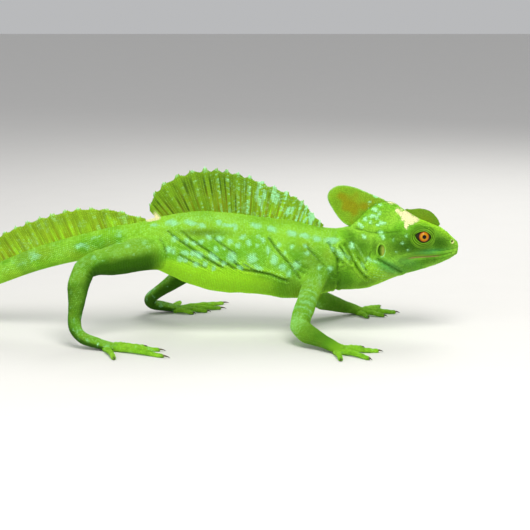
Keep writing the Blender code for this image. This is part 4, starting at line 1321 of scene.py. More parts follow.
    def _make_digit(self, root: Array, angle: float, length: float, curl: float) -> None:
        """One finger or toe from its root to the claw's tip.

        Args:
            root: where it starts.
            angle: its angle from the heading of the hand or foot.
            length: its length with the claw.
            curl: how far it curls sideways, in degrees.
        """
        share = np.linspace(0, 1, 60)
        turn = np.radians(self.plan.heading + self.mirror * (angle + curl * share))
        zero = np.zeros(len(share))
        forward = np.column_stack([np.cos(turn), np.sin(turn), zero])
        side = np.column_stack([-np.sin(turn), np.cos(turn), zero])
        line = root + np.cumsum(np.diff(share, prepend=0.0)[:, None] * forward * length, axis=0)
        joints = sum(bell(share - at, 0.045) for at in self.digit_joints)
        radius = self.digit_radius * (1.1 - 0.36 * share + 0.13 * joints)
        radius *= 1 + 0.10 * bell(share - 0.83, 0.05)
        line[:, 2] = 0.8 * radius + self.digit_arch * np.sin(np.clip(share / 0.78, 0, 1) * math.pi)
        places = np.concatenate([np.linspace(0, self.digit_end, self.digit_rings), self.digit_round])
        past_end = (places - self.digit_end) / self.digit_end_reach
        closing = np.sqrt(np.clip(1 - past_end**2 * (places > self.digit_end), 0.02, 1))
        reach = np.interp(places, share, radius) * closing
        across = unit(read_table(side, share, places))
        rings = tube(read_table(line, share, places), across, UP[None], reach, reach, self.digit_sides)
        rings[..., 2] = np.maximum(rings[..., 2], 0.0)
        blot = ripple(rings, 3.0, 17.0)
        dark = 0.2 * rise(0.0, -0.5, blot) + 0.5 * rise(0.84, 0.9, places)[:, None]
        paint = Paint(lime=0.35 + 0.25 * blot, mint=0.35 * rise(0.1, 0.6, blot), dark=dark)
        self.digits.append(Surface(rings, True, paint.table(*rings.shape[:2])))
        start = np.searchsorted(share, self.claw_start)
        self._make_claw(line[start], forward[start], side[start], length * (1 - self.claw_start))

    def _make_claw(self, base: Array, forward: Array, side: Array, reach: float) -> None:
        """A curved claw, deeper than wide, that ends just above the floor.

        Args:
            base: where it starts, inside the digit.
            forward: its direction.
            side: the direction of its width.
            reach: its length.
        """
        t = np.linspace(0, 1, self.claw_rings)
        centre = base + forward * (t * reach)[:, None]
        lift = 0.45 * np.sin(t * math.pi * 0.9) - 0.75 * t**2
        centre[:, 2] = np.maximum(base[2] + 0.1 + lift, 0.22)
        wide, tall = 0.52 * (1 - t) ** 0.8 + 0.03, 0.72 * (1 - t) ** 0.75 + 0.03
        rings = tube(centre, side[None], UP[None], wide, tall, self.claw_sides)
        rings[..., 2] = np.maximum(rings[..., 2], 0.02)
        self.claws.append(Surface(rings).mesh_data())

    def make_claws(self, finish: bpy.types.Material) -> None:
        """All claws of the limb as one piece, in the given material."""
        points = np.concatenate([part for part, _ in self.claws])
        size = self.claw_rings * self.claw_sides
        faces = [tuple(i + size * n for i in face) for n, claw in enumerate(self.claws) for face in claw[1]]
        piece = link_mesh(f"{self.name}_claws", to_frame(points), faces)
        tipward = np.repeat(np.linspace(0, 1, self.claw_rings), self.claw_sides)
        store(piece.data, "tipward", "FLOAT", np.tile(tipward, len(self.claws)))
        piece.data.materials.append(finish)
        finish_piece(piece, "green_skin")


def add_node(tree: bpy.types.NodeTree, kind: str, settings: dict, inputs: dict) -> bpy.types.Node:
    """Adds a node to a tree.

    Args:
        tree: the tree.
        kind: the node's type.
        settings: its own settings, set first; "stops" holds a ramp's (place, colour) pairs.
        inputs: values or links for its sockets, by name or number.

    Returns:
        The new node.
    """
    made = tree.nodes.new(kind)
    for key, setting in settings.items():
        if key == "stops":
            ramp = made.color_ramp
            while len(ramp.elements) < len(setting):
                ramp.elements.new(0.5)
            for element, (place, colour) in zip(ramp.elements, setting):
                element.position, element.color = place, (*colour, 1.0)
        else:
            setattr(made, key, setting)
    for key, given in inputs.items():
        given = given.socket if isinstance(given, Value) else given
        if isinstance(given, bpy.types.NodeSocket):
            tree.links.new(given, made.inputs[key])
        else:
            made.inputs[key].default_value = given
    return made


@dataclass
class Value:
    """A number's socket in a material, whose arithmetic adds Math nodes."""

    book: "NodeBook"
    socket: bpy.types.NodeSocket

    def maths(self, operation: str, first: Any, second: Any) -> "Value":
        """One Math node over two numbers or sockets."""
        return self.book.value("ShaderNodeMath", 0, {"operation": operation}, {0: first, 1: second})

    def __add__(self, other: Any) -> "Value":
        """Sum."""
        return self.maths("ADD", self, other)

    def __mul__(self, other: Any) -> "Value":
        """Product."""
        return self.maths("MULTIPLY", self, other)

    def __sub__(self, other: Any) -> "Value":
        """Difference."""
        return self.maths("SUBTRACT", self, other)

    def __rsub__(self, other: Any) -> "Value":
        """Difference from a plain number."""
        return self.maths("SUBTRACT", other, self)

    def __truediv__(self, other: Any) -> "Value":
        """Quotient."""
        return self.maths("DIVIDE", self, other)

    __radd__, __rmul__ = __add__, __mul__

    def between(self, low: float, high: float) -> "Value":
        """Zero below low, one above high, and smooth between."""
        settings = {"interpolation_type": "SMOOTHSTEP"}
        return self.book.value("ShaderNodeMapRange", "Result", settings, {0: self, 1: low, 2: high})


class NodeBook:
    """The nodes of one material, added one by one with their settings and sockets."""

    def __init__(self, name: str) -> None:
        """Starts an empty material."""
        self.material = bpy.data.materials.new(name)
        self.material.use_nodes = True
        self.tree = self.material.node_tree
        self.tree.nodes.clear()

    def node(self, kind: str, settings: dict | None = None, inputs: dict | None = None) -> bpy.types.Node:
        """A new node with its settings and inputs."""
        return add_node(self.tree, kind, settings or {}, inputs or {})

    def value(self, kind: str, output: Any, settings: dict, inputs: dict | None = None) -> Value:
        """A new node's output as a number."""
        return Value(self, self.node(kind, settings, inputs).outputs[output])

    def strengths(self, name: str) -> tuple[Value, Value, Value, Value]:
        """The four numbers of one of the skin's attributes."""
        read = self.node("ShaderNodeAttribute", {"attribute_name": name})
        parts = self.node("ShaderNodeSeparateColor", {}, {0: read.outputs["Color"]})
        return (*(Value(self, parts.outputs[i]) for i in range(3)), Value(self, read.outputs["Alpha"]))

    def number(self, name: str) -> Value:
        """A single number stored on the mesh."""
        return self.value("ShaderNodeAttribute", "Fac", {"attribute_name": name})

    def noise(self, per_metre: float, detail: float = 2.0, roughness: float = 0.5) -> Value:
        """Noise over the object.

        Args:
            per_metre: how many times it changes in a metre.
            detail: how many finer layers it has.
            roughness: how strong those are.

        Returns:
            A number from 0 to 1.
        """
        place = self.node("ShaderNodeTexCoord").outputs["Object"]
        inputs = {"Vector": place, "Scale": per_metre, "Detail": detail, "Roughness": roughness}
        return self.value("ShaderNodeTexNoise", "Fac", {}, inputs)

    def cells(self, per_metre: float) -> Value:
        """Distance to the nearest of scattered cells."""
        inputs = {"Vector": self.node("ShaderNodeTexCoord").outputs["Object"], "Scale": per_metre}
        return self.value("ShaderNodeTexVoronoi", "Distance", {"feature": "F1"}, inputs)

    def mix(self, share: Any, first: Any, second: Colour) -> bpy.types.NodeSocket:
        """One colour turned into another.

        Args:
            share: how far it is turned, from 0 to 1.
            first: the colour or link it starts from.
            second: the colour it turns into.

        Returns:
            The mixed colour.
        """
        first = first if isinstance(first, bpy.types.NodeSocket) else (*first, 1.0)
        settings = {"data_type": "RGBA", "blend_type": "MIX", "clamp_factor": True}
        return self.node("ShaderNodeMix", settings, {0: share, 6: first, 7: (*second, 1.0)}).outputs[2]

    def brightened(self, colour: Any, value: Value) -> bpy.types.NodeSocket:
        """A colour made lighter or darker."""
        return self.node("ShaderNodeHueSaturation", {}, {"Color": colour, "Value": value}).outputs["Color"]

    def bump(self, height: Value, distance: float, strength: float) -> bpy.types.NodeSocket:
        """A normal bent by a height."""
        inputs = {"Height": height, "Distance": distance, "Strength": strength}
        return self.node("ShaderNodeBump", {}, inputs).outputs["Normal"]

    def surface(self, **inputs: Any) -> bpy.types.Material:
        """Ends the material in a Principled shader with the given sockets."""
        titles = [key.replace("_", " ").title().replace("Ior", "IOR") for key in inputs]
        named = dict(zip(titles, inputs.values()))
        shader = self.node("ShaderNodeBsdfPrincipled", {}, named)
        self.node("ShaderNodeOutputMaterial", {}, {"Surface": shader.outputs["BSDF"]})
        return self.material


@dataclass(frozen=True)
class SkinFinish:
    """Living skin: its greens, the colours of its marks and of its painted shade and highlights, its gloss
    and its grain.
    """

    name: str
    green: Colour = (0.175, 0.520, 0.020)
    fresh: Colour = (0.330, 0.710, 0.050)
    lime: Colour = (0.400, 0.830, 0.025)
    dark: Colour = (0.042, 0.145, 0.003)
    mint: Colour = (0.385, 0.840, 0.425)
    olive: Colour = (0.330, 0.520, 0.020)
    teal: Colour = (0.030, 0.340, 0.110)
    cream: Colour = (0.860, 0.830, 0.440)
    bare: Colour = (0.420, 0.240, 0.100)
    orange: Colour = (0.290, 0.280, 0.004)
    shade: float = 1.0
    roughness: float = 0.48
    grain_per_metre: float = 1100.0
    grain_depth: float = 0.00016
    gloss: float = 0.10

    def build(self) -> bpy.types.Material:
        """The finished material."""
        book = NodeBook(self.name)
        mint, lime, dark, bare = book.strengths("marks")
        cream, olive, teal, orange = book.strengths("tints")
        chance = book.number("chance") - 0.5
        fine = book.noise(900.0)
        broad = (book.noise(70.0, 3.0) + chance * 0.13).between(0.34, 0.66)
        colour = book.mix(broad, self.green, self.fresh)
        spots = (mint + (fine - 0.5) * 0.25 + chance * 0.26).between(0.10, 0.95) * 0.92
        shares = (olive, lime, teal, dark, orange, spots, bare, cream)
        tints = (self.olive, self.lime, self.teal, self.dark, self.orange, self.mint, self.bare, self.cream)
        for share, tint in zip(shares, tints):
            colour = book.mix(share, colour, tint)
        colour = book.brightened(colour, (0.86 + fine * 0.24 + chance * 0.11) * self.shade)
        bent = book.bump(1.0 - book.cells(self.grain_per_metre), self.grain_depth, 0.8)
        rough = fine * 0.16 + self.roughness + cream * 0.3
        return book.surface(base_color=colour, roughness=rough, normal=bent, specular_ior_level=self.gloss)


@dataclass(frozen=True)
class EyeFinish:
    """A wet eye: black pupil, orange iris with fine streaks, and a dark rim past the iris that is painted
    shade of the lids.

    stops are shares of the reach in millimetres from the pupil's middle, each with its colour.
    """

    name: str = "wet_eye"
    reach: float = 5.0
    stops: tuple[tuple[float, Colour], ...] = (
        (0.0, (0.002, 0.002, 0.002)),
        (0.224, (0.004, 0.003, 0.002)),
        (0.244, (0.40, 0.20, 0.002)),
        (0.38, (0.54, 0.215, 0.001)),
        (0.52, (0.40, 0.115, 0.000)),
        (0.60, (0.10, 0.016, 0.000)),
        # Past the iris: painted shade of the lids on the eyeball.
        (0.65, (0.012, 0.010, 0.006)),
        (0.85, (0.03, 0.035, 0.012)),
    )

    def build(self) -> bpy.types.Material:
        """The finished material."""
        book = NodeBook(self.name)
        streaks = book.noise(2600.0, 3.0, 0.7)
        moved = (book.number("gaze") + (streaks - 0.5) * 0.45) / self.reach
        ramp = book.node("ShaderNodeValToRGB", {"stops": self.stops}, {"Fac": moved})
        colour = book.brightened(ramp.outputs["Color"], 0.75 + streaks * 0.5)
        gloss = {"roughness": 0.5, "specular_ior_level": 0.05, "coat_weight": 0.32, "coat_roughness": 0.02}
        return book.surface(base_color=colour, **gloss)


@dataclass(frozen=True)
class ClawFinish:
    """Horn: dark brown at the tip, paler and greener at the root."""

    name: str = "claw_horn"
    pale: Colour = (0.16, 0.13, 0.05)
    dark: Colour = (0.02, 0.014, 0.008)

    def build(self) -> bpy.types.Material:
        """The finished material."""
        book = NodeBook(self.name)
        streak = book.noise(1500.0)
        tipward = (book.number("tipward") + (streak - 0.5) * 0.4).between(0.1, 0.8)
        colour = book.mix(tipward, self.pale, self.dark)
        bent = book.bump(streak, 0.00008, 0.5)
        return book.surface(base_color=colour, roughness=0.34 + streak * 0.12, normal=bent, coat_weight=0.2)


@dataclass(frozen=True)
class FloorFinish:
    """The plain pale floor."""

    name: str = "pale_floor"
    colour: Colour = (0.72, 0.71, 0.69)

    def build(self) -> bpy.types.Material:
        """The finished material."""
        book = NodeBook(self.name)
        colour = book.brightened((*self.colour, 1.0), 0.985 + book.noise(35.0, 4.0) * 0.03)
        return book.surface(base_color=colour, roughness=0.75)


# Rings of reach, height and rearward shift, points round them, crown, foot's height and squareness.
DOMES = {
    ScaleShape.GRAIN: (((1.0, 0.05, 0.0), (0.7, 0.38, 0.03)), 6, (0.03, 0.0, 0.5), -0.4, 1.0),
    ScaleShape.PLATE: (((1.0, -0.1, 0), (1.0, 0.15, 0), (0.84, 0.40, 0)), 12, (0.0, 0.0, 0.5), -0.4, 0.36),
    ScaleShape.BEAD: (((0.7, -0.35, 0), (1.0, 0.0, 0), (0.7, 0.35, 0)), 7, (0.0, 0.0, 0.5), -0.5, 1.0),
    ScaleShape.TOOTH: (((1.0, 0.0, 0), (0.8, 0.45, 0.06), (0.4, 0.8, 0.16)), 6, (0.26, 0, 1.05), -0.5, 1.0),
}
# A low roof: four points round its edge, the crown and the foot.
KEEL = ((-0.52, 0, 0), (0, 0.5, 0.02), (0.62, 0, 0.16), (0, -0.5, 0.02), (0.12, 0, 0.5), (0, 0, -0.5))


@dataclass
class ScaleField:
    """Stands one small shape on every root by Geometry Nodes, as one plain mesh."""

    seed: int = 11
    patch_size: float = 0.003

    def __post_init__(self) -> None:
        """Makes the tree and the shapes once."""
        self.tree, self.sockets = self._make_tree()
        self.shapes = {shape: self._make_shape(shape) for shape in ScaleShape}

    @staticmethod
    def _domed(
        rings: Sequence[Place], sides: int, crown: Place, foot: float, square: float
    ) -> tuple[list[Place], Faces]:
        """Points and faces of a small closed dome.

        Args:
            rings: reach, height and rearward shift of each ring.
            sides: points round each ring.
            crown: the highest point.
            foot: height of the lowest point.
            square: one for a round outline, less for a squarer one.

        Returns:
            Its points and faces.
        """
        turn = circle(sides) + (math.pi / sides if square < 1 else 0)
        outline = [0.5 * np.sign(wave) * np.abs(wave) ** square for wave in (np.cos(turn), np.sin(turn))]
        points = [(shift + reach * a, reach * b, z) for reach, z, shift in rings for a, b in zip(*outline)]
        count = len(points)
        faces = ring_faces(len(rings), sides) + fan(count - sides, sides, count) + fan(0, sides, count + 1)
        return points + [crown, (rings[0][2], 0.0, foot)], faces

    def _make_shape(self, shape: ScaleShape) -> bpy.types.Object:
        """One small shape of about unit size, +X rearward and +Z out of the skin."""
        if shape is ScaleShape.KEEL:
            points, faces = KEEL, fan(0, 4, 4) + fan(0, 4, 5)
        else:
            points, faces = self._domed(*DOMES[shape])
        piece = link_mesh(f"shape_{shape.value}", np.array(points, float), faces)
        store(piece.data, "local", "FLOAT_VECTOR", np.array(points) * (1, 1, 0))
        piece.hide_render = True
        return piece

    def _make_tree(self) -> tuple[bpy.types.NodeTree, dict[str, str]]:
        """The tree that turns points into scales, and the identifiers of its inputs."""
        tree = bpy.data.node_groups.new("stand_scales", "GeometryNodeTree")
        for way in ("OUTPUT", "INPUT"):
            tree.interface.new_socket("Geometry", in_out=way, socket_type="NodeSocketGeometry")
        sockets = {}
        for name, kind in {"Shape": "Object", "Tilt": "Float", "Finish": "Material"}.items():
            made = tree.interface.new_socket(name, in_out="INPUT", socket_type=f"NodeSocket{kind}")
            sockets[name] = made.identifier
        add = partial(add_node, tree)
        given = add("NodeGroupInput", {}, {}).outputs
        turn, size = (
            add("GeometryNodeInputNamedAttribute", {"data_type": kind}, {"Name": name}).outputs["Attribute"]
            for name, kind in (("turn", "QUATERNION"), ("size", "FLOAT_VECTOR"))
        )
        less = add("ShaderNodeMath", {"operation": "MULTIPLY"}, {0: given["Tilt"], 1: -1.0}).outputs[0]
        span = {2: less, 3: given["Tilt"], "Seed": self.seed}
        swing = add("FunctionNodeRandomValue", {"data_type": "FLOAT"}, span).outputs[1]
        nod = add("ShaderNodeCombineXYZ", {}, {1: swing}).outputs[0]
        turns = {"Rotation": turn, "Rotate By": nod}
        swung = add("FunctionNodeRotateRotation", {"rotation_space": "LOCAL"}, turns).outputs[0]
        form = add("GeometryNodeObjectInfo", {}, {"Object": given["Shape"]}).outputs["Geometry"]
        parts = {"Points": given["Geometry"], "Instance": form, "Rotation": swung, "Scale": size}
        stood = add("GeometryNodeInstanceOnPoints", {}, parts).outputs["Instances"]
        real = add("GeometryNodeRealizeInstances", {}, {"Geometry": stood}).outputs["Geometry"]
        dressed = add("GeometryNodeSetMaterial", {}, {"Geometry": real, "Material": given["Finish"]})
        add("NodeGroupOutput", {}, {"Geometry": dressed.outputs["Geometry"]})
        return tree, sockets

    def stand(
        self,
        name: str,
        roots: Roots,
        shape: ScaleShape,
        finish: bpy.types.Material,
        tilt: float = 0.05,
        variety: float = 1.0,
    ) -> bpy.types.Object:
        """Makes a piece with one scale on every root.

        Args:
            name: the piece's name.
            roots: where the scales stand.
            shape: which small form they have.
            finish: their material.
            tilt: the most that each is tipped forwards or back, in radians.
            variety: how much they differ in tone.

        Returns:
            The piece as a plain mesh, with its bake map.
        """
        count = len(roots.place)
        mesh = bpy.data.meshes.new(name)
        mesh.vertices.add(count)
        mesh.vertices.foreach_set("co", to_frame(roots.place).astype(np.float32).ravel())
        store(mesh, "turn", "QUATERNION", quaternions(roots.forward, roots.normal))
        store(mesh, "size", "FLOAT_VECTOR", roots.size * MM)
        store(mesh, "patch", "FLOAT_VECTOR", np.column_stack([roots.patch, np.zeros(count)]))
        chance = np.random.default_rng(self.seed + count).random(count)
        store_paint(mesh, roots.paint, 0.5 + variety * (chance - 0.5))
        piece = link(name, mesh)
        modifier = piece.modifiers.new("scales", "NODES")
        modifier.node_group = self.tree
        for key, value in {"Shape": self.shapes[shape], "Tilt": tilt, "Finish": finish}.items():
            modifier[self.sockets[key]] = value
        graph = bpy.context.evaluated_depsgraph_get()
        made = bpy.data.meshes.new_from_object(piece.evaluated_get(graph))
        piece.modifiers.remove(modifier)
        piece.data = made
        made.shade_smooth()
        self._bake_map(made)
        return piece

    def _bake_map(self, mesh: bpy.types.Mesh) -> None:
        """Gives each scale a small patch at its root's place on the skin's unwrap."""
        patch, local = (np.empty(len(mesh.vertices) * 3, np.float32) for _ in range(2))
        mesh.attributes["patch"].data.foreach_get("vector", patch)
        mesh.attributes["local"].data.foreach_get("vector", local)
        places = (patch + local * self.patch_size).reshape(-1, 3)[:, :2]
        corners = np.empty(len(mesh.loops), np.int32)
        mesh.loops.foreach_get("vertex_index", corners)
        layer = mesh.uv_layers.new(name="OFBake")
        layer.uv.foreach_set("vector", np.clip(places[corners], 0.0, 1.0).ravel())
        for name in ("turn", "size", "patch", "local"):
            if name in mesh.attributes:
                mesh.attributes.remove(mesh.attributes[name])

    def clear(self) -> None:
        """Removes the small shapes once every piece is made."""
        for shape in self.shapes.values():
            bpy.data.objects.remove(shape)


@dataclass(frozen=True)
class Rows:
    """Scales in rows round a tube, fewer on a ring in steps as the tube narrows."""

    pitch: float
    width: float
    overlap: float = 1.15
    thickness: float = 0.30
    lift: float = 0.10
    fewest: int = 8
    ladder: float = 1.13
    first: float = 0.2
    longest: float = 1.6
    shingle: float = 1.1

    def _counts(self, girths: Array) -> Array:
        """Scales on each ring, on a ladder of counts so that most neighbouring rings match."""
        rungs = np.log(np.maximum(girths / self.width, self.fewest) / self.fewest) / math.log(self.ladder)
        return np.round(self.fewest * self.ladder ** np.round(rungs)).astype(int)

    def lay(self, surface: Surface, sheet: Sheet) -> Roots:
        """Lays the scales.

        Args:
            surface: what they stand on.
            sheet: the corner and size of the surface's own area on the bake map.

        Returns:
            The roots of all scales.
        """
        points = surface.points
        rings, sides = points.shape[:2]
        number = np.arange(rings)
        steps = np.percentile(np.linalg.norm(np.diff(points, axis=0), axis=2), 80, axis=1)
        middle = np.concatenate([[0.0], np.cumsum(steps)])
        row = np.interp(np.arange(self.pitch * self.first, middle[-1], self.pitch), middle, number)
        girths = np.linalg.norm(np.roll(points, -1, axis=1) - points, axis=2).sum(axis=1)
        counts = self._counts(np.interp(row, number, girths))
        rows = np.repeat(row, counts)
        step_round = sides / np.repeat(counts, counts)
        placed = np.concatenate([np.arange(n) + 0.25 + 0.5 * (k % 2) for k, n in enumerate(counts)])
        columns = placed * step_round
        patch = on_sheet(sheet, rows / rings, (columns % sides) / sides)
        roots = surface.roots(rows, columns, 1.0, patch)
        width = np.linalg.norm(surface.read(points, rows, columns + step_round) - roots.place, axis=1)
        before = np.maximum(rows - 1, 0)
        onward = surface.read(points, before + 1, columns) - surface.read(points, before, columns)
        evenly = np.maximum(np.interp(rows, number, np.gradient(middle)), 1e-6)
        length = self.pitch * np.linalg.norm(onward, axis=1) / evenly
        length = np.minimum(length, self.longest * self.pitch)
        height = 2 * self.thickness * np.clip(np.minimum(length, width), 0.35, 3.0)
        roots.size = np.column_stack([length * self.overlap * self.shingle, width * self.overlap, height])
        forward, out = roots.forward, roots.normal
        roots.forward, roots.normal = unit(forward + out * self.lift), unit(out - forward * self.lift)
        return roots


def spread(places: Array, gaps: Array, cell: float = 2.4, nearness: float = 0.4) -> list[int]:
    """Picks places in turn that keep clear of those picked before them.

    Args:
        places: what to pick from.
        gaps: how wide each one is, zero for those that are left out.
        cell: size of the cells of the search grid, more than the widest distance kept.
        nearness: the distance kept by two, as a share of the sum of their gaps.

    Returns:
        The numbers of the picked places.
    """
    taken: dict[tuple[int, ...], list[int]] = {}
    steps = list(product((-1, 0, 1), repeat=3))
    chosen = []
    for i in np.flatnonzero(gaps > 0).tolist():
        x, y, z = (int(v) for v in np.floor(places[i] / cell))
        near = [j for dx, dy, dz in steps for j in taken.get((x + dx, y + dy, z + dz), ())]
        if all(np.sum((places[j] - places[i]) ** 2) > (nearness * (gaps[i] + gaps[j])) ** 2 for j in near):
            taken.setdefault((x, y, z), []).append(i)
            chosen.append(i)
    return chosen


@dataclass
class Basilisk:
    """The whole animal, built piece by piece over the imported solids."""

    tries: int = 110000
    off_floor: float = 0.25
    close: float = 0.7
    soften_times: int = 5
    soften_past: float = 0.001
    turn_to_skin: float = 0.6
    lip_pitch: float = 2.55
    lip_length: float = 2.72
    lip_height: float = 0.24
    lip_map_rows: int = 220
    plate_size: Place = (1.34, 1.26, 0.26)
    plate_growth: float = 0.8
    flat_when_cream: float = 0.7
    seed: int = 5

    def __post_init__(self) -> None:
        """Shapes the trunk and limbs and makes the finishes."""
        self.spine = Spine()
        self.trunk = Trunk(self.spine)
        self.limbs = [LimbShape(name, plan, self.trunk) for name, plan in LIMBS.items()]
        self.field = ScaleField()
        self.skin = SkinFinish("green_skin", shade=0.72, roughness=0.5).build()
        self.scales = SkinFinish("green_scales", grain_per_metre=2600.0, grain_depth=0.00005).build()

    def _trunk_skin(self) -> tuple[Array, Faces]:
        """Points and faces of head, neck, torso and tail as one closed skin."""
        front, rear = self.trunk.front.points, self.trunk.rear.points
        (fr, fs), (rr, rs) = front.shape[:2], rear.shape[:2]
        offset, last = fr * fs, (fr - 1) * fs
        faces = ring_faces(fr, fs)
        for s in range(rs):
            a, b, c = (last + (2 * s + i) % fs for i in range(3))
            d, e = offset + s, offset + (s + 1) % rs
            faces += [(a, b, d), (b, c, e), (b, e, d)]
        faces += [tuple(i + offset for i in face) for face in ring_faces(rr - 1, rs)]
        tip = offset + (rr - 1) * rs
        ends = np.array([SNOUT_TIP]), rear[-1:].mean(axis=1) + np.array(TAIL_TIP_REACH)
        points = np.concatenate([front.reshape(-1, 3), rear[1:].reshape(-1, 3), *ends])
        return points, faces + fan(0, fs, tip) + fan(tip - rs, rs, tip + 1)

    def make_skin(self) -> None:
        """One closed skin for head, trunk, tail and limbs."""
        points, faces = self._trunk_skin()
        skin = link_mesh("skin", to_frame(points), faces)
        others = bpy.data.collections.new("limb_skins")
        bpy.context.scene.collection.children.link(others)
        for limb in self.limbs:
            for number, surface in enumerate([limb.surface] + limb.digits):
                points, faces = surface.mesh_data()
                others.objects.link(link_mesh(f"{limb.name}_{number}", to_frame(points), faces))
        union = skin.modifiers.new("join", "BOOLEAN")
        union.operation, union.solver = "UNION", "MANIFOLD"
        union.operand_type, union.collection = "COLLECTION", others
        graph = bpy.context.evaluated_depsgraph_get()
        joined = bpy.data.meshes.new_from_object(skin.evaluated_get(graph))
        skin.modifiers.clear()
        skin.data = joined
        for part in list(others.objects):
            bpy.data.objects.remove(part)
        bpy.data.collections.remove(others)
        self._soften_joins(joined)
        self._paint_skin(joined)
        places = (mesh_places(joined) - BODY_ZERO) / MM
        faces = [tuple(face.vertices) for face in joined.polygons]
        self.skin_tree = BVHTree.FromPolygons(places.tolist(), faces)
        joined.materials.clear()
        joined.materials.append(self.skin)
        joined.shade_smooth()
        others = ("sail", "crest", "eye")
        nodes = [name for name in frame["nodes"] if not any(word in name for word in others)]
        finish_piece(skin, "green_skin", *nodes)

    def _soften_joins(self, mesh: bpy.types.Mesh) -> None:
        """Smooths the skin where limbs leave the trunk."""
        places = mesh_places(mesh)
        near = np.zeros(len(places), bool)
        for limb in self.limbs:
            flare = to_frame(limb.surface.points[1 : limb.flare_rings]).reshape(-1, 3)
            centre = flare.mean(axis=0)
            reach = np.linalg.norm(flare - centre, axis=1).max() + self.soften_past
            near |= np.linalg.norm(places - centre, axis=1) < reach
        shape = bmesh.new()
        shape.from_mesh(mesh)
        shape.verts.ensure_lookup_table()
        chosen = [shape.verts[i] for i in np.flatnonzero(near)]
        every_way = {f"use_axis_{axis}": True for axis in "xyz"}
        for _ in range(self.soften_times):
            bmesh.ops.smooth_vert(shape, verts=chosen, factor=0.5, **every_way)
        shape.to_mesh(mesh)
        shape.free()

    def _paint_skin(self, mesh: bpy.types.Mesh) -> None:
        """Carries the surfaces' paint over to the joined skin."""
        surfaces = [self.trunk.front, self.trunk.rear]
        for limb in self.limbs:
            surfaces += [limb.surface] + limb.digits
        tree = point_tree(to_frame(np.concatenate([s.points.reshape(-1, 3) for s in surfaces])))
        paints = np.concatenate([s.paint.reshape(-1, STRENGTHS) for s in surfaces])
        store_paint(mesh, paints[[tree.find(vertex.co)[1] for vertex in mesh.vertices]])

    def _settled(self, roots: Roots, slack: float) -> Roots:
        """The roots that lie on the joined skin, moved on to it; those buried inside it are dropped.

        Args:
            roots: where the scales would stand on one surface of its own.
            slack: how far from the joined skin a root may lie, in millimetres.

        Returns:
            The roots that are left.
        """
        wanted = np.zeros(len(roots.place), bool)
        for i, point in enumerate(roots.place.tolist()):
            hit, normal, _, gap = self.skin_tree.find_nearest(Vector(point))
            normal = np.array(normal)
            wanted[i] = gap < slack and normal @ roots.normal[i] > 0.2
            if wanted[i]:
                roots.place[i] = hit
                roots.normal[i] = unit(roots.normal[i] + self.turn_to_skin * normal)
        return roots.keep(wanted)

    def _stand(
        self, name: str, roots: Roots, shape: ScaleShape, slack: float = 0.32, **more: float
    ) -> None:
        """Stands one set of scales on the joined skin.

        Args:
            name: the piece's name.
            roots: where the scales stand.
            shape: their form.
            slack: how far from the joined skin a root may lie, in millimetres.
            **more: tilt and variety, where they aren't the usual ones.
        """
        piece = self.field.stand(name, self._settled(roots, slack), shape, self.scales, **more)
        finish_piece(piece, "green_skin")

    def make_scales(self) -> None:
        """Rows of small keeled scales on torso, tail, limbs and digits."""
        split = self.trunk.collar_rings[0]
        torso = Surface(self.trunk.front.points[split:], True, self.trunk.front.paint[split:])
        roots = Rows(1.02, 1.08).lay(torso, (0.01, 0.01, 0.48, 0.98))
        self._stand("torso_scales", roots.keep(~in_front(roots.place)), ScaleShape.KEEL, self.close)
        tail = Rows(1.22, 1.22, lift=0.13).lay(self.trunk.rear, (0.5, 0.01, 0.48, 0.98))
        self._stand("tail_scales", tail.keep(tail.place[:, 2] > self.off_floor), ScaleShape.KEEL)
        for number, limb in enumerate(self.limbs):
            left = 0.02 + 0.24 * number
            parts = [Rows(1.03, 1.02).lay(limb.surface, (left, 0.02, 0.22, 0.45))]
            for which, digit in enumerate(limb.digits):
                rows = Rows(0.86, 0.84, thickness=0.17, lift=0.05)
                parts.append(rows.lay(digit, (left, 0.5 + 0.09 * which, 0.22, 0.08)))
            joined = Roots.join(parts)
            above = joined.keep(joined.place[:, 2] > self.off_floor)
            self._stand(f"{limb.name}_scales", above, ScaleShape.KEEL)

    def make_head_scales(self, covers: Sequence["SkinPatch"]) -> None:
        """Uneven small plates on the head, finer round the eyes and larger on the casque.

        Args:
            covers: the patches of finer skin, which carry scales of their own.
        """
        front = self.trunk.front
        split = self.trunk.collar_rings[1]
        points = front.points[:split]
        sides = points.shape[1]
        edges = np.diff(points[:, :-1], axis=0), np.diff(points[:-1], axis=1)
        cell = np.linalg.norm(np.cross(*edges), axis=2).ravel()
        rng = np.random.default_rng(self.seed)
        picks = rng.choice(len(cell), self.tries, p=cell / cell.sum())
        row = picks // (sides - 1) + rng.random(len(picks))
        side = picks % (sides - 1) + rng.random(len(picks))
        place = front.read(front.points, row, side)
        pitch = self._head_pitch(place)
        chosen = spread(place, pitch)
        row, side, pitch = row[chosen], side[chosen], pitch[chosen]
        roots = front.roots(row, side, 1.0, on_sheet(WHOLE_SHEET, row / split, side / sides))
        long, wide, high = self.plate_size
        flat = 1 - self.flat_when_cream * roots.paint[:, CREAM]
        roots.size = np.column_stack([pitch * long, pitch * wide, high * pitch**self.plate_growth * flat])
        roots = roots.keep(in_front(roots.place))
        for cover in covers:
            beside = np.sign(roots.place[:, 1]) == cover.side.value
            roots = roots.keep(~(beside & lies_behind(roots.place, ring_tree(cover.outer()), -0.05)))
        for half in Side:
            own = roots.keep(np.sign(roots.place[:, 1] + 1e-9) == half.value)
            self._stand(f"{half.name.lower()}_head_scales", own, ScaleShape.GRAIN, self.close)

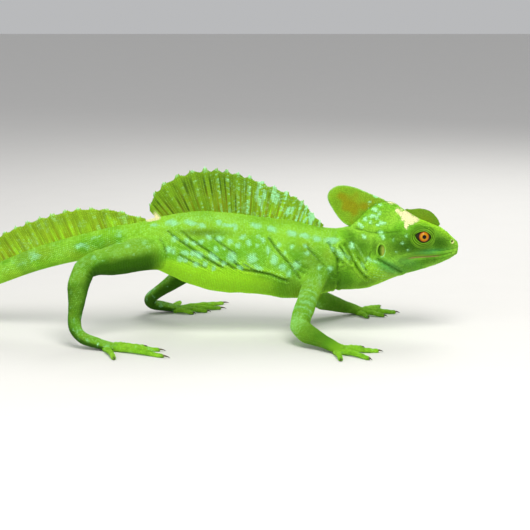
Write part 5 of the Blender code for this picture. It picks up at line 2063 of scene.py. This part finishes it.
    @staticmethod
    def _head_pitch(place: Array) -> Array:
        """Distance between scales at each place on the head, zero where there are none."""
        x, y, z = place.T
        casque = rise(60, 68, z) * rise(112, 98, x)
        snout = rise(110, 122, x)
        pitch = 0.80 + 0.26 * casque + 0.20 * snout * rise(52, 58, z) + 0.14 * rise(72, 62, x)
        above = z - EYE_CENTRE[2]
        tall = np.where(above > 0, LIDS_UP, LIDS_DOWN)
        lids = np.hypot((x - EYE_CENTRE[0] - 0.3) / LIDS_LONG, above / tall)
        aside = np.abs(y) > 4.5
        ear = np.hypot((x - EAR_CENTRE[0]) / EAR_SIZE[0], (z - EAR_CENTRE[1]) / EAR_SIZE[1])
        nostril = np.hypot(x - NOSTRIL[0], z - NOSTRIL[1])
        pitch = np.where((aside & ((lids < 1.2) | (ear < 1.9))) | (nostril < 2.2), 0.62, pitch)
        pitch = np.where(aside & (lids < 0.6), 0.0, pitch)
        band = np.interp(x, [93.6, 96.2], [0.5, 2.5])
        at_mouth = (np.abs(z - np.interp(x, *MOUTH_LINE)) < band) & (x > MOUTH_CORNER_X)
        return np.where(at_mouth & (np.abs(y) > 1.5), 0.0, pitch)

    def make_lip_plates(self) -> None:
        """Two rows of larger plates along the lips."""
        front = self.trunk.front
        ring_x = front.points[: len(front.points) // 2, 0, 0]
        parts = []
        for offset, first, last, width in ((UPPER_LIP, 128.6, 94.9, 1.7), (LOWER_LIP, 127.6, 95.6, 1.5)):
            row = np.interp(-np.arange(first, last, -self.lip_pitch), -ring_x, np.arange(len(ring_x)))
            size = (self.lip_length, width, self.lip_height)
            for column in (offset, 2 * HALF - offset):
                side = np.full(len(row), float(column))
                patch = on_sheet((0.0, 0.0, 1.0, 1.0), row / self.lip_map_rows, side / (2 * HALF))
                parts.append(front.roots(row, side, size, patch))
        self._stand("lip_plates", Roots.join(parts), ScaleShape.PLATE, tilt=0.02, variety=0.3)


@dataclass
class SkinPatch:
    """A round piece of finer skin laid over the head's side: lids, an ear or a nostril.

    x, z and out are rows of points from the middle outwards: out is the distance from the middle plane.
    """

    name: str
    side: Side
    x: Array
    z: Array
    out: Array
    paint: Paint
    scale_rows: Rows
    first_scaled: int
    open_middle: bool = False
    thickness: float = 0.8

    def outer(self, sunk: float = 0.0) -> Array:
        """The rings of the patch's outer face, or of one sunk below it."""
        return np.stack([self.x, (self.out - sunk) * self.side.value, self.z], axis=-1)

    def build(self, skin: bpy.types.Material, animal: Basilisk) -> None:
        """Makes the closed patch and the scales on it.

        Args:
            skin: the patch's own material.
            animal: the animal, for its scales and the skin that the patch lies on.
        """
        outer = self.outer()
        loop = np.concatenate([outer, self.outer(self.thickness)[::-1]])
        rings, sides = loop.shape[:2]
        faces = ring_faces(rings, sides)
        if self.open_middle:
            last = (rings - 1) * sides
            faces += [(s, (s + 1) % sides, last + (s + 1) % sides, last + s) for s in range(sides)]
        else:
            faces += caps(rings, sides)
        piece = link_mesh(self.name, to_frame(loop.reshape(-1, 3)), faces)
        near = self.paint.table(*outer.shape[:2])
        store_paint(piece.data, np.concatenate([near, near[::-1]]))
        piece.data.materials.append(skin)
        finish_piece(piece, "green_skin")
        surface = Surface(outer[self.first_scaled :], True, near[self.first_scaled :])
        roots = self.scale_rows.lay(surface, WHOLE_SHEET)
        if np.sign(roots.normal[:, 1].mean()) != self.side.value:
            roots.normal = -roots.normal
        roots = roots.keep(~lies_behind(roots.place, animal.skin_tree, 0.05))
        scales = animal.field.stand(f"{self.name}_scales", roots, ScaleShape.GRAIN, animal.scales)
        finish_piece(scales, "green_skin")


@dataclass
class Face:
    """One side of the face: eyeball, lids, ear and nostril."""

    side: Side
    trunk: Trunk
    ball_rings: int = 40
    ball_sides: int = 56
    bulge: float = 0.035
    gaze_up: float = 0.06
    edge: float = 1.55
    corner: float = 1.6
    look_from: float = 30.0
    lid_folds: float = 3.5
    fold_height: float = 0.28
    rim_height: float = 0.30

    def _name(self, what: str) -> str:
        """The name of one of this side's pieces."""
        return f"{self.side.name.lower()}_{what}"

    def make_ball(self, finish: bpy.types.Material) -> None:
        """The eyeball, its pole on the pupil, in the given material."""
        rings, sides = self.ball_rings - 1, self.ball_sides
        polar = np.linspace(0, math.pi, self.ball_rings + 1)[1:-1]
        spin = circle(sides)
        centre = np.array(EYE_CENTRE) * (1, self.side.value, 1)
        outward = self.side.value * math.cos(GAZE_FORWARD)
        gaze = unit(np.array([math.sin(GAZE_FORWARD), outward, self.gaze_up]))
        up = unit(np.cross(np.cross(gaze, UP), gaze))
        ball = (
            np.cos(polar)[:, None, None] * gaze
            + (np.sin(polar)[:, None] * np.cos(spin))[..., None] * up
            + (np.sin(polar)[:, None] * np.sin(spin))[..., None] * np.cross(gaze, up)
        )
        bulge = 1 + self.bulge * np.clip(1 - (polar / 0.8) ** 2, 0, 1)[:, None, None]
        points = (centre + ball * EYE_RADIUS * bulge).reshape(-1, 3)
        poles = [centre + gaze * EYE_RADIUS * (1 + self.bulge), centre - gaze * EYE_RADIUS]
        count = len(points)
        faces = ring_faces(rings, sides) + fan(0, sides, count) + fan(count - sides, sides, count + 1)
        piece = link_mesh(self._name("eyeball"), to_frame(np.vstack([points, poles])), faces)
        radial = np.repeat(EYE_RADIUS * np.sin(np.minimum(polar, math.pi / 2)), sides)
        store(piece.data, "gaze", "FLOAT", np.concatenate([radial, [0.0, EYE_RADIUS]]))
        piece.data.materials.append(finish)
        finish_piece(piece, "eye", self._name("eye"))

    def _skin_depth(self, x: Array, z: Array) -> Array:
        """Half widths of the head's skin at places seen from the side."""
        hits = (side_hit(self.trunk.bvh, a, b, self.side.value, self.look_from) for a, b in zip(x, z))
        return np.array([hit or 0.0 for hit in hits])

    def lids(self) -> SkinPatch:
        """Lids in fine folds, from the rim on the eyeball out to the skin of the head."""
        spin = circle(84)
        share = np.linspace(0, 1, 34)[:, None]
        cos, sin = np.cos(spin), np.sin(spin)
        corner = 1 / (np.abs(cos) ** self.corner + np.abs(sin) ** self.corner) ** (1 / self.corner)
        along, across = APERTURE[0] * cos * corner, APERTURE[1] * sin * corner
        rim_x = along * math.cos(APERTURE_SLANT) - across * math.sin(APERTURE_SLANT)
        rim_z = along * math.sin(APERTURE_SLANT) + across * math.cos(APERTURE_SLANT)
        tall = np.where(sin > 0, LIDS_UP, LIDS_DOWN)
        x = EYE_CENTRE[0] + 0.3 + rim_x + (LIDS_LONG * cos - rim_x) * share
        z = EYE_CENTRE[2] + rim_z + (tall * sin - rim_z) * share
        away = np.hypot(x - EYE_CENTRE[0], z - EYE_CENTRE[2])
        ball = EYE_CENTRE[1] + np.sqrt(np.clip(EYE_RADIUS**2 - away**2, 0.5, None))
        edge = self._skin_depth(x[-1], z[-1])
        level = edge + (ball[:1] + 0.35 - edge) * (1 - rise(0, 1, share)) ** 1.15
        wave = np.sin(share * self.lid_folds * 2 * math.pi - 0.8)
        folds = self.fold_height * wave * bell(share - 0.42, 0.33)
        folds = folds * (0.7 + 0.3 * np.sin(spin * 2 + 0.6))
        rim = self.rim_height * bell(share - 0.07, 0.06)
        tuck = -0.9 * rise(0.06, 0.0, share) - 0.25 * rise(0.93, 1.0, share)
        # Painted shade in the troughs of the lid folds, painted highlight of lime on their crests, and lime
        # at the rim.
        dark = 0.60 + 0.4 * rise(0.05, -0.15, folds) - 0.30 * rise(0.0, 0.2, folds)
        lime = 0.40 * rise(0.06, 0.2, folds) + 0.30 * bell(share - 0.08, 0.06)
        paint = Paint(dark=dark, lime=lime, olive=0.2)
        rows = Rows(0.52, 0.55, overlap=1.05, thickness=0.20, lift=0.0)
        out = level + folds + rim + tuck
        return SkinPatch(self._name("lids"), self.side, x, z, out, paint, rows, 8, True)

    def _disc(
        self, centre: tuple[float, float], size: tuple[float, float], sides: int, reach: Array
    ) -> tuple[Array, Array, Array]:
        """A round grid over the head's side.

        Args:
            centre: its middle, seen from the side.
            size: its half length and half height.
            sides: points round each ring.
            reach: each ring's share of that size.

        Returns:
            x, z and the half width at each point, level with the skin at the outer edge.
        """
        spin = circle(sides)
        x = centre[0] + size[0] * reach * np.cos(spin)
        z = centre[1] + size[1] * reach * np.sin(spin)
        edge = self._skin_depth(x[-1], z[-1])
        return x, z, edge.mean() + (edge - edge.mean()) * reach / self.edge

    def ear(self) -> SkinPatch:
        """The ear: a raised rim round a sunken drum, deepest at the back."""
        reach = np.linspace(0.05, self.edge, 30)[:, None]
        spin = circle(48)
        x, z, level = self._disc(EAR_CENTRE, EAR_SIZE, len(spin), reach)
        rear = rise(0.5, -0.7, reach * np.cos(spin))
        out = level + 0.28 * bell(reach - 1.15, 0.16) - (0.8 + 1.2 * rear) * rise(1.04, 0.80, reach)
        out = out - 0.3 * rise(1.4, self.edge, reach)
        inside = rise(1.0, 0.9, reach)
        blot = ripple(np.stack([x, out, z], axis=-1), 1.3, 5.0)
        paint = Paint(bare=inside * np.clip(0.34 - 0.5 * rear + 0.15 * blot, 0, 1), olive=0.6 * inside)
        # Painted shade: the drum darkens towards the back, where it is sunk deepest.
        paint.dark = np.maximum(inside * np.clip(0.35 + 0.75 * rear, 0, 1), 0.35 * rise(1.5, 1.2, reach))
        # Painted highlight: mint along the front of the rim.
        paint.mint = 0.65 * bell(reach - 1.08, 0.12) * rise(0.1, 0.9, np.cos(spin + 0.7))
        rows = Rows(0.50, 0.62, overlap=1.05, thickness=0.16, lift=0.0)
        return SkinPatch(self._name("ear_skin"), self.side, x, z, out, paint, rows, 21)

    def nostril(self) -> SkinPatch:
        """The nostril: a dark pit in pale pinkish skin."""
        reach = np.linspace(0.08, self.edge, 20)[:, None]
        x, z, level = self._disc(NOSTRIL, (1.0, 1.0), 32, reach)
        oval = np.hypot(x - NOSTRIL[0], (z - NOSTRIL[1]) * 1.45)
        out = level + 0.32 * bell(reach - 1.05, 0.32) - 1.3 * rise(0.85, 0.35, oval)
        out = out - 0.25 * rise(1.4, self.edge, reach)
        pale = rise(-1.2, 0.6, x - NOSTRIL[0]) * rise(0.7, 0.95, oval)
        # Painted shade: dark inside the pit.
        paint = Paint(cream=0.7 * pale, dark=rise(0.95, 0.55, oval))
        paint.bare = 0.5 * pale + 0.35 * rise(0.9, 0.6, oval)
        rows = Rows(0.50, 0.55, overlap=1.05, thickness=0.16, lift=0.0)
        return SkinPatch(self._name("nostril_skin"), self.side, x, z, out, paint, rows, 13)


@dataclass
class Vane:
    """A thin upright fin: rays in its middle plane, thickness, and paint on both faces."""

    name: str
    slot: str
    roots: Array
    tips: Array
    side: Array
    half: Array
    paint: Array

    def face(self, side: Side) -> Surface:
        """The left or right face as a surface."""
        share = np.linspace(0, 1, self.half.shape[1])
        middle = self.roots[:, None] + (self.tips - self.roots)[:, None] * share[None, :, None]
        return Surface(middle + self.half[..., None] * self.side[:, None] * side.value, False, self.paint)

    def build(self, finish: bpy.types.Material, nodes: Sequence[str]) -> tuple[Surface, Surface]:
        """Makes the closed fin and hangs it on the model.

        Args:
            finish: its material.
            nodes: the solids it replaces.

        Returns:
            Its two faces, each with its columns ordered so that its normals point out.
        """
        left, right = self.face(Side.LEFT), self.face(Side.RIGHT)
        columns, width = self.half.shape
        other = columns * width
        faces = ring_faces(columns, width, False)
        faces += [tuple(i + other for i in reversed(face)) for face in faces]
        number = np.arange(other).reshape(columns, width)
        rim = [*number[:, 0], *number[-1, 1:], *number[-2::-1, -1], *number[0, -2:0:-1]]
        faces += [(a, b, b + other, a + other) for a, b in zip(rim, rim[1:] + rim[:1])]
        points = np.concatenate([left.points.reshape(-1, 3), right.points.reshape(-1, 3)])
        piece = link_mesh(self.name, to_frame(points), faces)
        store_paint(piece.data, np.concatenate([self.paint] * 2))
        piece.data.materials.append(finish)
        finish_piece(piece, self.slot, *nodes)
        return left, Surface(right.points[::-1], False, right.paint[::-1])

    @staticmethod
    def face_roots(face: Surface, number: int, row: Array, side: Array, size: Any) -> Roots:
        """Roots of scales that point up one of the two faces.

        Args:
            face: the face.
            number: which of the two it is.
            row: places along the fin.
            side: places up its rays.
            size: length, width and height of the scales.

        Returns:
            The roots.
        """
        columns, width = face.points.shape[:2]
        sheet = (0.02 + 0.48 * number, 0.02, 0.46, 0.9)
        return face.roots(row, side, size, on_sheet(sheet, row / columns, side / width), upright=True)

    def edge_roots(
        self, first: float, pitch: float, sink: float, last: float = 0.5
    ) -> tuple[Roots, Array]:
        """Roots of scales along the free edge.

        Args:
            first: distance of the first from the edge's start.
            pitch: distance between them.
            sink: how deep they are sunk.
            last: how far from the edge's end they stop.

        Returns:
            The roots, all of size one, and the column that each stands at.
        """
        edge = distance_along(self.tips)
        number = np.arange(len(edge))
        column = np.interp(np.arange(first, edge[-1] - last, pitch), edge, number)
        tables = (self.tips, self.roots, self.side)
        tips, roots, side = (read_table(table, number, column) for table in tables)
        up = unit(tips - roots)
        paint = self.paint[np.clip(np.round(column).astype(int), 0, len(edge) - 1), -1]
        patch = on_sheet((0.02, 0.97, 0.96, 0.0), column / len(edge), 1.0)
        return Roots(tips - up * sink, np.cross(side, up), up, np.ones_like(up), paint, patch), column


@dataclass
class Sail:
    """A sail of raised rays and thin skin along the back or, plainer, along the tail."""

    name: str
    spine: Spine
    profile: Sequence[Place]
    reach: tuple[float, float]
    rays: int
    nodes: tuple[str, ...]
    plain: bool = False
    columns_per_ray: int = 12
    rows: int = 40
    scale_columns: int = 6
    scale_pitch: float = 1.1
    root_half: float = 0.85
    edge_half: float = 0.30
    ridge: float = 0.34
    root_depth: float = 1.6
    root_sink: float = 0.5
    shortest: float = 0.6
    sway: float = 0.7
    tooth: Place = (1.35, 0.7, 0.95)
    seed: int = 3

    def vane(self) -> Vane:
        """The sail's middle plane, thickness and paint."""
        start, end = (self.spine.distance_at_x(x) for x in self.reach)
        share = np.linspace(0, 1, self.rays * self.columns_per_ray + 1)
        distance = start + (end - start) * share
        tables = (self.spine.up, self.spine.back, self.spine.side)
        up, back, side = (self.spine.at(table, distance) for table in tables)
        length, lean = smooth_values(self.profile, share).T
        beat = share * self.rays
        within = np.abs((beat % 1.0) - 0.5) * 2
        point = np.clip(1 - within, 0, 1)
        length = length * (0.915 + 0.075 * point**1.5) + 0.2 * np.sin(beat * 9.7)
        lean = np.radians(lean)[:, None]
        direction = np.cos(lean) * up + np.sin(lean) * back
        roots = self.spine.ridge(distance, self.root_depth) - direction * self.root_sink
        tips = self.spine.ridge(distance, 0.0) + direction * np.maximum(length, self.shortest)[:, None]
        sway = self.sway * np.sin(share * 7.0 + 1.0) * np.clip(length / 20, 0, 1)
        tips = tips + side * sway[:, None]
        height = np.linspace(0, 1, self.rows)[None]
        thick = self.root_half + (self.edge_half - self.root_half) * height**0.7
        ridges = self.ridge * (bell(within, 0.28) + 0.45 * bell(within - 0.8, 0.14))[:, None]
        half = thick + ridges * (1 - 0.5 * height)
        paint = self._painted(share, within[:, None], length).table(*half.shape)
        return Vane(self.name, "sail_skin", roots, tips, side, half, paint)

    @staticmethod
    def _grain(across: Array, tall: Array, layer: float, seed: float, size: float = 1.0) -> Array:
        """Noise drawn out along the rays.

        Args:
            across: places across the rays.
            tall: places up them.
            layer: which slice of the noise is read.
            seed: what sets it apart from others on the same slice.
            size: how coarse it is.

        Returns:
            Numbers from about -1 to 1.
        """
        return ripple(np.stack([across, tall, np.full_like(tall, layer)], axis=-1), size, seed)

    def _painted(self, share: Array, within: Array, length: Array) -> Paint:
        """Streaks along the rays, a bright base and mint tips.

        Args:
            share: place of each column along the sail.
            within: its distance from its ray's middle.
            length: the length of its ray.

        Returns:
            The paint.
        """
        beat, up = np.meshgrid(share * self.rays, np.linspace(0, 1, self.rows), indexing="ij")
        tall = (length / 26)[:, None] * up
        broken, fiery, dashed, golden = (
            self._grain(beat * 3.2, tall * 2.0, 0.0, seed) for seed in (3.0, 23.0, 9.0, 27.0)
        )
        front = rise(0.62, 0.30, share)[:, None]
        on_ray = bell(within, 0.30)
        furrow = np.maximum(bell(within - 0.55, 0.20), 0.8 * bell(within - 1.0, 0.12))
        broken = rise(-0.30, 0.30, broken)
        dark = 0.80 * furrow * broken * rise(1.0, 0.75, up) * rise(0.05, 0.16, up) * (1 - 0.4 * front)
        paint = Paint(dark=dark + 0.22 * (1 - front))
        paint.olive = 0.30 + 0.5 * broken * rise(0.95, 0.3, up) + 0.3 * self.plain
        paint.orange = 0.65 * furrow * rise(-0.2, 0.3, fiery) * rise(0.9, 0.1, up)
        dashes = rise(-0.10, 0.24, self._grain(beat * 3.0, tall * 24.0, 5.0, 2.0) + 0.35 * dashed)
        blotch = rise(0.05, 0.30, self._grain(beat * 2.4, tall * 3.2, 9.0, 7.0)) * front
        forward = np.interp(share, [0, 0.12, 0.4, 0.7, 1.0], [0.9, 1.0, 0.9, 0.55, 0.3])[:, None]
        mint = dashes * forward * (0.35 + 0.65 * on_ray) * (0.7 + 0.3 * up) + 0.65 * blotch
        paint.mint = mint * (0.30 if self.plain else 1.0)
        paint.add(mint=0.65 * rise(0.93, 0.99, up) * on_ray)
        gold = rise(-0.15, 0.30, golden) * rise(0.8, 0.3, up) * front
        paint.lime = 0.9 * rise(0.12, 0.03, up) + 0.22 * on_ray + 0.8 * gold
        if not self.plain:
            ends = bell(share - 0.10, 0.045)[:, None] * rise(0.5, 0.2, up)
            paint.add(dark=rise(0.30, 0.45, self._grain(beat * 3.0, tall * 24.0, 5.0, 14.0, 0.55)) * ends)
            paint.cream = rise(0.968, 0.985, share)[:, None] * rise(0.75, 0.4, up)
        return paint

    def build(self, field: ScaleField, skin: bpy.types.Material, scales: bpy.types.Material) -> None:
        """Makes the sail with rows of small scales and a toothed edge.

        Args:
            field: what stands the scales.
            skin: the material of its skin.
            scales: the material of its scales.
        """
        vane = self.vane()
        parts = [self._rows(face, number) for number, face in enumerate(vane.build(skin, self.nodes))]
        covering = field.stand(f"{self.name}_scales", Roots.join(parts), ScaleShape.KEEL, scales)
        finish_piece(covering, "sail_skin")
        teeth = field.stand(f"{self.name}_teeth", self._teeth(vane), ScaleShape.TOOTH, scales, tilt=0.1)
        finish_piece(teeth, "sail_skin")

    def _rows(self, face: Surface, number: int) -> Roots:
        """Scales in columns that follow the rays, a fixed number of columns to each ray.

        Args:
            face: the sail's left or right face.
            number: which of the two it is.

        Returns:
            The roots of the scales.
        """
        spread_over = self.columns_per_ray / self.scale_columns
        rows, sides = [], []
        for which in range(self.rays * self.scale_columns):
            column = (which + 0.5) * spread_over
            ray = distance_along(face.points[int(column)])
            steps = np.arange(1.9 + 0.55 * (which % 2), ray[-1] - 0.4, self.scale_pitch)
            sides.append(np.interp(steps, ray, np.arange(self.rows)))
            rows.append(np.full(len(steps), column))
        row, side = np.concatenate(rows), np.concatenate(sides)
        ends = (face.read(face.points, row + step, side) for step in (spread_over / 2, -spread_over / 2))
        width = np.clip(np.linalg.norm(np.subtract(*ends), axis=1), 0.5, 1.8)
        size = np.column_stack([np.full(len(row), 1.4), width * 1.1, np.full(len(row), 0.34)])
        return Vane.face_roots(face, number, row, side, size)

    def _teeth(self, vane: Vane) -> Roots:
        """Pointed scales along the sail's upper edge, taller on the rays."""
        roots, column = vane.edge_roots(0.8, 1.25, 0.4)
        varied = 0.7 + 0.6 * np.random.default_rng(self.seed).random(len(column))
        at_ray = np.abs((column / self.columns_per_ray) % 1.0 - 0.5) < 0.17
        roots.size = roots.size * self.tooth
        roots.size[:, 2] *= varied
        roots.size[:, 2] *= np.where(at_ray, 1.35, 0.6)
        return roots


@dataclass
class HeadCrest:
    """A crest in the middle plane of the head, with a beaded rim where its beads have a size."""

    name: str
    table: Sequence[Sequence[float]]
    node: str
    centre_colour: float
    bead: float
    columns: int = 90
    rows: int = 30
    root_half: float = 2.0
    edge_half: float = 0.55
    root_depth: float = 1.6
    scale_gap: float = 0.875
    scale_size: Place = (1.12, 0.98, 0.22)
    tries_per_area: int = 9
    seed: int = 9

    def vane(self) -> Vane:
        """The crest's middle plane, thickness and paint."""
        knots = np.column_stack([np.linspace(0, 1, len(self.table)), np.array(self.table, float)])
        place = np.linspace(0, 1, self.columns)
        root_x, root_z, tip_x, tip_z = smooth_values(knots, place).T
        level = np.zeros(self.columns)
        roots, tips = np.column_stack([root_x, level, root_z]), np.column_stack([tip_x, level, tip_z])
        roots = roots - unit(tips - roots) * self.root_depth
        place, up = place[:, None], np.linspace(0, 1, self.rows)[None]
        swell = 1 - 0.5 * np.abs(2 * place - 1) ** 3
        half = (self.root_half + (self.edge_half - self.root_half) * up**0.6) * swell
        side = np.tile((0.0, 1.0, 0.0), (self.columns, 1))
        vane = Vane(self.name, "crest_skin", roots, tips, side, half, np.zeros((*half.shape, STRENGTHS)))
        points = vane.face(Side.LEFT).points
        vane.half = half + 0.16 * ripple(points, 2.6, 4.0) + 0.12 * np.sin(place * 46) * up * (1 - up)
        vane.paint = self._painted(points, up, place).table(*half.shape)
        return vane

    def _painted(self, points: Array, up: Array, place: Array) -> Paint:
        """Green with an olive to orange middle, a pale rim and a few mint flecks.

        Args:
            points: the left face.
            up: share of the crest's height.
            place: share of its length.

        Returns:
            The paint.
        """
        blot = ripple(points, 5.0, 6.0)
        middle = bell(up - 0.42, 0.27) * bell(place - 0.54, 0.24)
        # Painted shade: darker towards the crest's root.
        paint = Paint(olive=0.45 + 0.5 * middle, dark=0.26 + 0.20 * rise(0.25, 0.0, up))
        paint.orange = self.centre_colour * rise(0.25, 0.9, middle + 0.8 * blot)
        paint.lime = 0.25 * rise(0.80, 0.97, up) + 0.12 * rise(0.0, 0.5, blot)
        flecks = rise(0.30, 0.5, ripple(points, 2.6, 25.0))
        flecks = flecks * rise(0.15, 0.5, ripple(points, 9.0, 2.0) + 0.25)
        paint.mint = 0.9 * flecks + 0.30 * rise(0.93, 1.0, up)
        if not self.bead:
            paint.dark, paint.olive = paint.dark + 0.35, paint.olive + 0.3
            paint.lime, paint.mint = paint.lime * 0.4, paint.mint * 0.2
        return paint

    def build(self, field: ScaleField, skin: bpy.types.Material, scales: bpy.types.Material) -> None:
        """Makes the crest, its flat scales and its rim.

        Args:
            field: what stands the scales.
            skin: the material of its skin.
            scales: the material of its scales.
        """
        vane = self.vane()
        area = np.linalg.norm(vane.tips - vane.roots, axis=1).mean() * distance_along(vane.tips)[-1]
        count = int(self.tries_per_area * area)
        rng = np.random.default_rng(self.seed)
        parts = []
        for number, face in enumerate(vane.build(skin, (self.node,))):
            row = rng.random(count) * (self.columns - 1)
            side = (0.06 + 0.90 * rng.random(count)) * (self.rows - 1)
            keep = spread(face.read(face.points, row, side), np.full(count, self.scale_gap))
            parts.append(Vane.face_roots(face, number, row[keep], side[keep], self.scale_size))
        covering = field.stand(f"{self.name}_scales", Roots.join(parts), ScaleShape.GRAIN, scales)
        finish_piece(covering, "crest_skin")
        if self.bead:
            beads, _ = vane.edge_roots(1.0, self.bead * 0.92, 0.15)
            beads.size = beads.size * (self.bead * 1.1, self.bead * 1.15, self.bead)
            finish_piece(field.stand(f"{self.name}_rim", beads, ScaleShape.BEAD, scales), "crest_skin")


@dataclass
class Stage:
    """Floor, lights and the camera at the photograph's angle.

    Each light has its place from the animal in metres, its size, its power and its tint.
    """

    target: Place = (15.0, 0.0, 40.8)
    elevation: float = math.radians(10)
    distance: float = 1.2
    half_width: float = 0.159
    floor_reach: float = 3e3
    lights: tuple[tuple[str, Place, float, float, Colour], ...] = (
        ("key", (0.10, -0.55, 0.75), 0.55, 7.2, (1.0, 0.98, 0.94)),
        ("fill", (-0.55, -0.75, 0.35), 0.9, 3.0, (0.98, 0.99, 1.0)),
        ("rim", (0.25, 0.65, 0.6), 0.5, 3.2, (1.0, 1.0, 0.97)),
    )
    sky: Colour = (0.97, 0.98, 1.0)
    sky_strength: float = 0.5
    nearest: float = 0.01

    def build(self) -> None:
        """Makes the whole stage."""
        corners = np.array([(-1, -1, 0), (1, -1, 0), (1, 1, 0), (-1, 1, 0)]) * self.floor_reach
        floor = link_mesh("floor", to_frame(corners), [(0, 1, 2, 3)])
        floor.data.materials.append(FloorFinish().build())
        for name, place, size, power, tint in self.lights:
            light = bpy.data.lights.new(name, "AREA")
            light.shape, light.size, light.energy, light.color = "DISK", size, power, tint
            self._aimed(name, light, Vector(place))
        world = bpy.data.worlds.new("studio")
        bpy.context.scene.world = world
        world.use_nodes = True
        back = world.node_tree.nodes["Background"]
        back.inputs["Color"].default_value = (*self.sky, 1.0)
        back.inputs["Strength"].default_value = self.sky_strength
        data = bpy.data.cameras.new("camera")
        data.angle = 2 * math.atan(self.half_width / self.distance)
        data.clip_start = self.nearest
        away = Vector((0.0, -math.cos(self.elevation), math.sin(self.elevation)))
        bpy.context.scene.camera = self._aimed("camera", data, away * self.distance)
        view = bpy.context.scene.view_settings
        view.view_transform = "Standard"
        view.look = "None"

    def _aimed(self, name: str, data: bpy.types.ID, away: Vector) -> bpy.types.Object:
        """A light or camera that looks at the animal.

        Args:
            name: its name.
            data: the light or camera.
            away: how far from the animal it stands, in metres.

        Returns:
            The new object.
        """
        piece = link(name, data)
        target = Vector(to_frame(self.target))
        piece.location = target + away
        piece.rotation_euler = (target - piece.location).to_track_quat("-Z", "Y").to_euler()
        return piece


def main() -> None:
    """Builds every piece in order."""
    logging.basicConfig(level=logging.INFO, format="%(message)s")
    animal = Basilisk()
    animal.make_skin()
    animal.make_scales()
    faces = [Face(side, animal.trunk) for side in Side]
    covers = [cover for face in faces for cover in (face.lids(), face.ear(), face.nostril())]
    animal.make_head_scales(covers)
    animal.make_lip_plates()
    bare_skin = SkinFinish("face_skin", grain_per_metre=1800.0, roughness=0.4).build()
    eye = EyeFinish().build()
    for face in faces:
        face.make_ball(eye)
    for cover in covers:
        cover.build(bare_skin, animal)
    tones = {"green": (0.130, 0.330, 0.008), "fresh": (0.210, 0.460, 0.016), "dark": (0.050, 0.130, 0.005)}
    sail_skin = SkinFinish("sail_skin", shade=0.85, grain_per_metre=1500.0, **tones).build()
    sail_scales = SkinFinish("sail_scales", **tones).build()
    tail_nodes = ("tail_sail_1", "tail_sail_2", "tail_sail_3")
    for sail in (
        Sail("back_fin", animal.spine, BACK_SAIL, BACK_SAIL_X, rays=18, nodes=("back_sail",)),
        Sail(
            "tail_fin", animal.spine, TAIL_SAIL, TAIL_SAIL_X, rays=28, nodes=tail_nodes,
            plain=True, columns_per_ray=10, rows=26,
        ),
    ):
        sail.build(animal.field, sail_skin, sail_scales)
    for crest in (
        HeadCrest("rear_lobe", REAR_CREST, "rear_crest", centre_colour=0.85, bead=1.15),
        HeadCrest(
            "front_lobe", FRONT_CREST, "front_crest", centre_colour=0.15, bead=0.0,
            columns=50, rows=20, root_half=1.9,
        ),
    ):
        crest.build(animal.field, sail_skin, animal.scales)
    claw_horn = ClawFinish().build()
    for limb in animal.limbs:
        limb.make_claws(claw_horn)
    animal.field.clear()
    Stage().build()


if __name__ == "__main__":
    main()
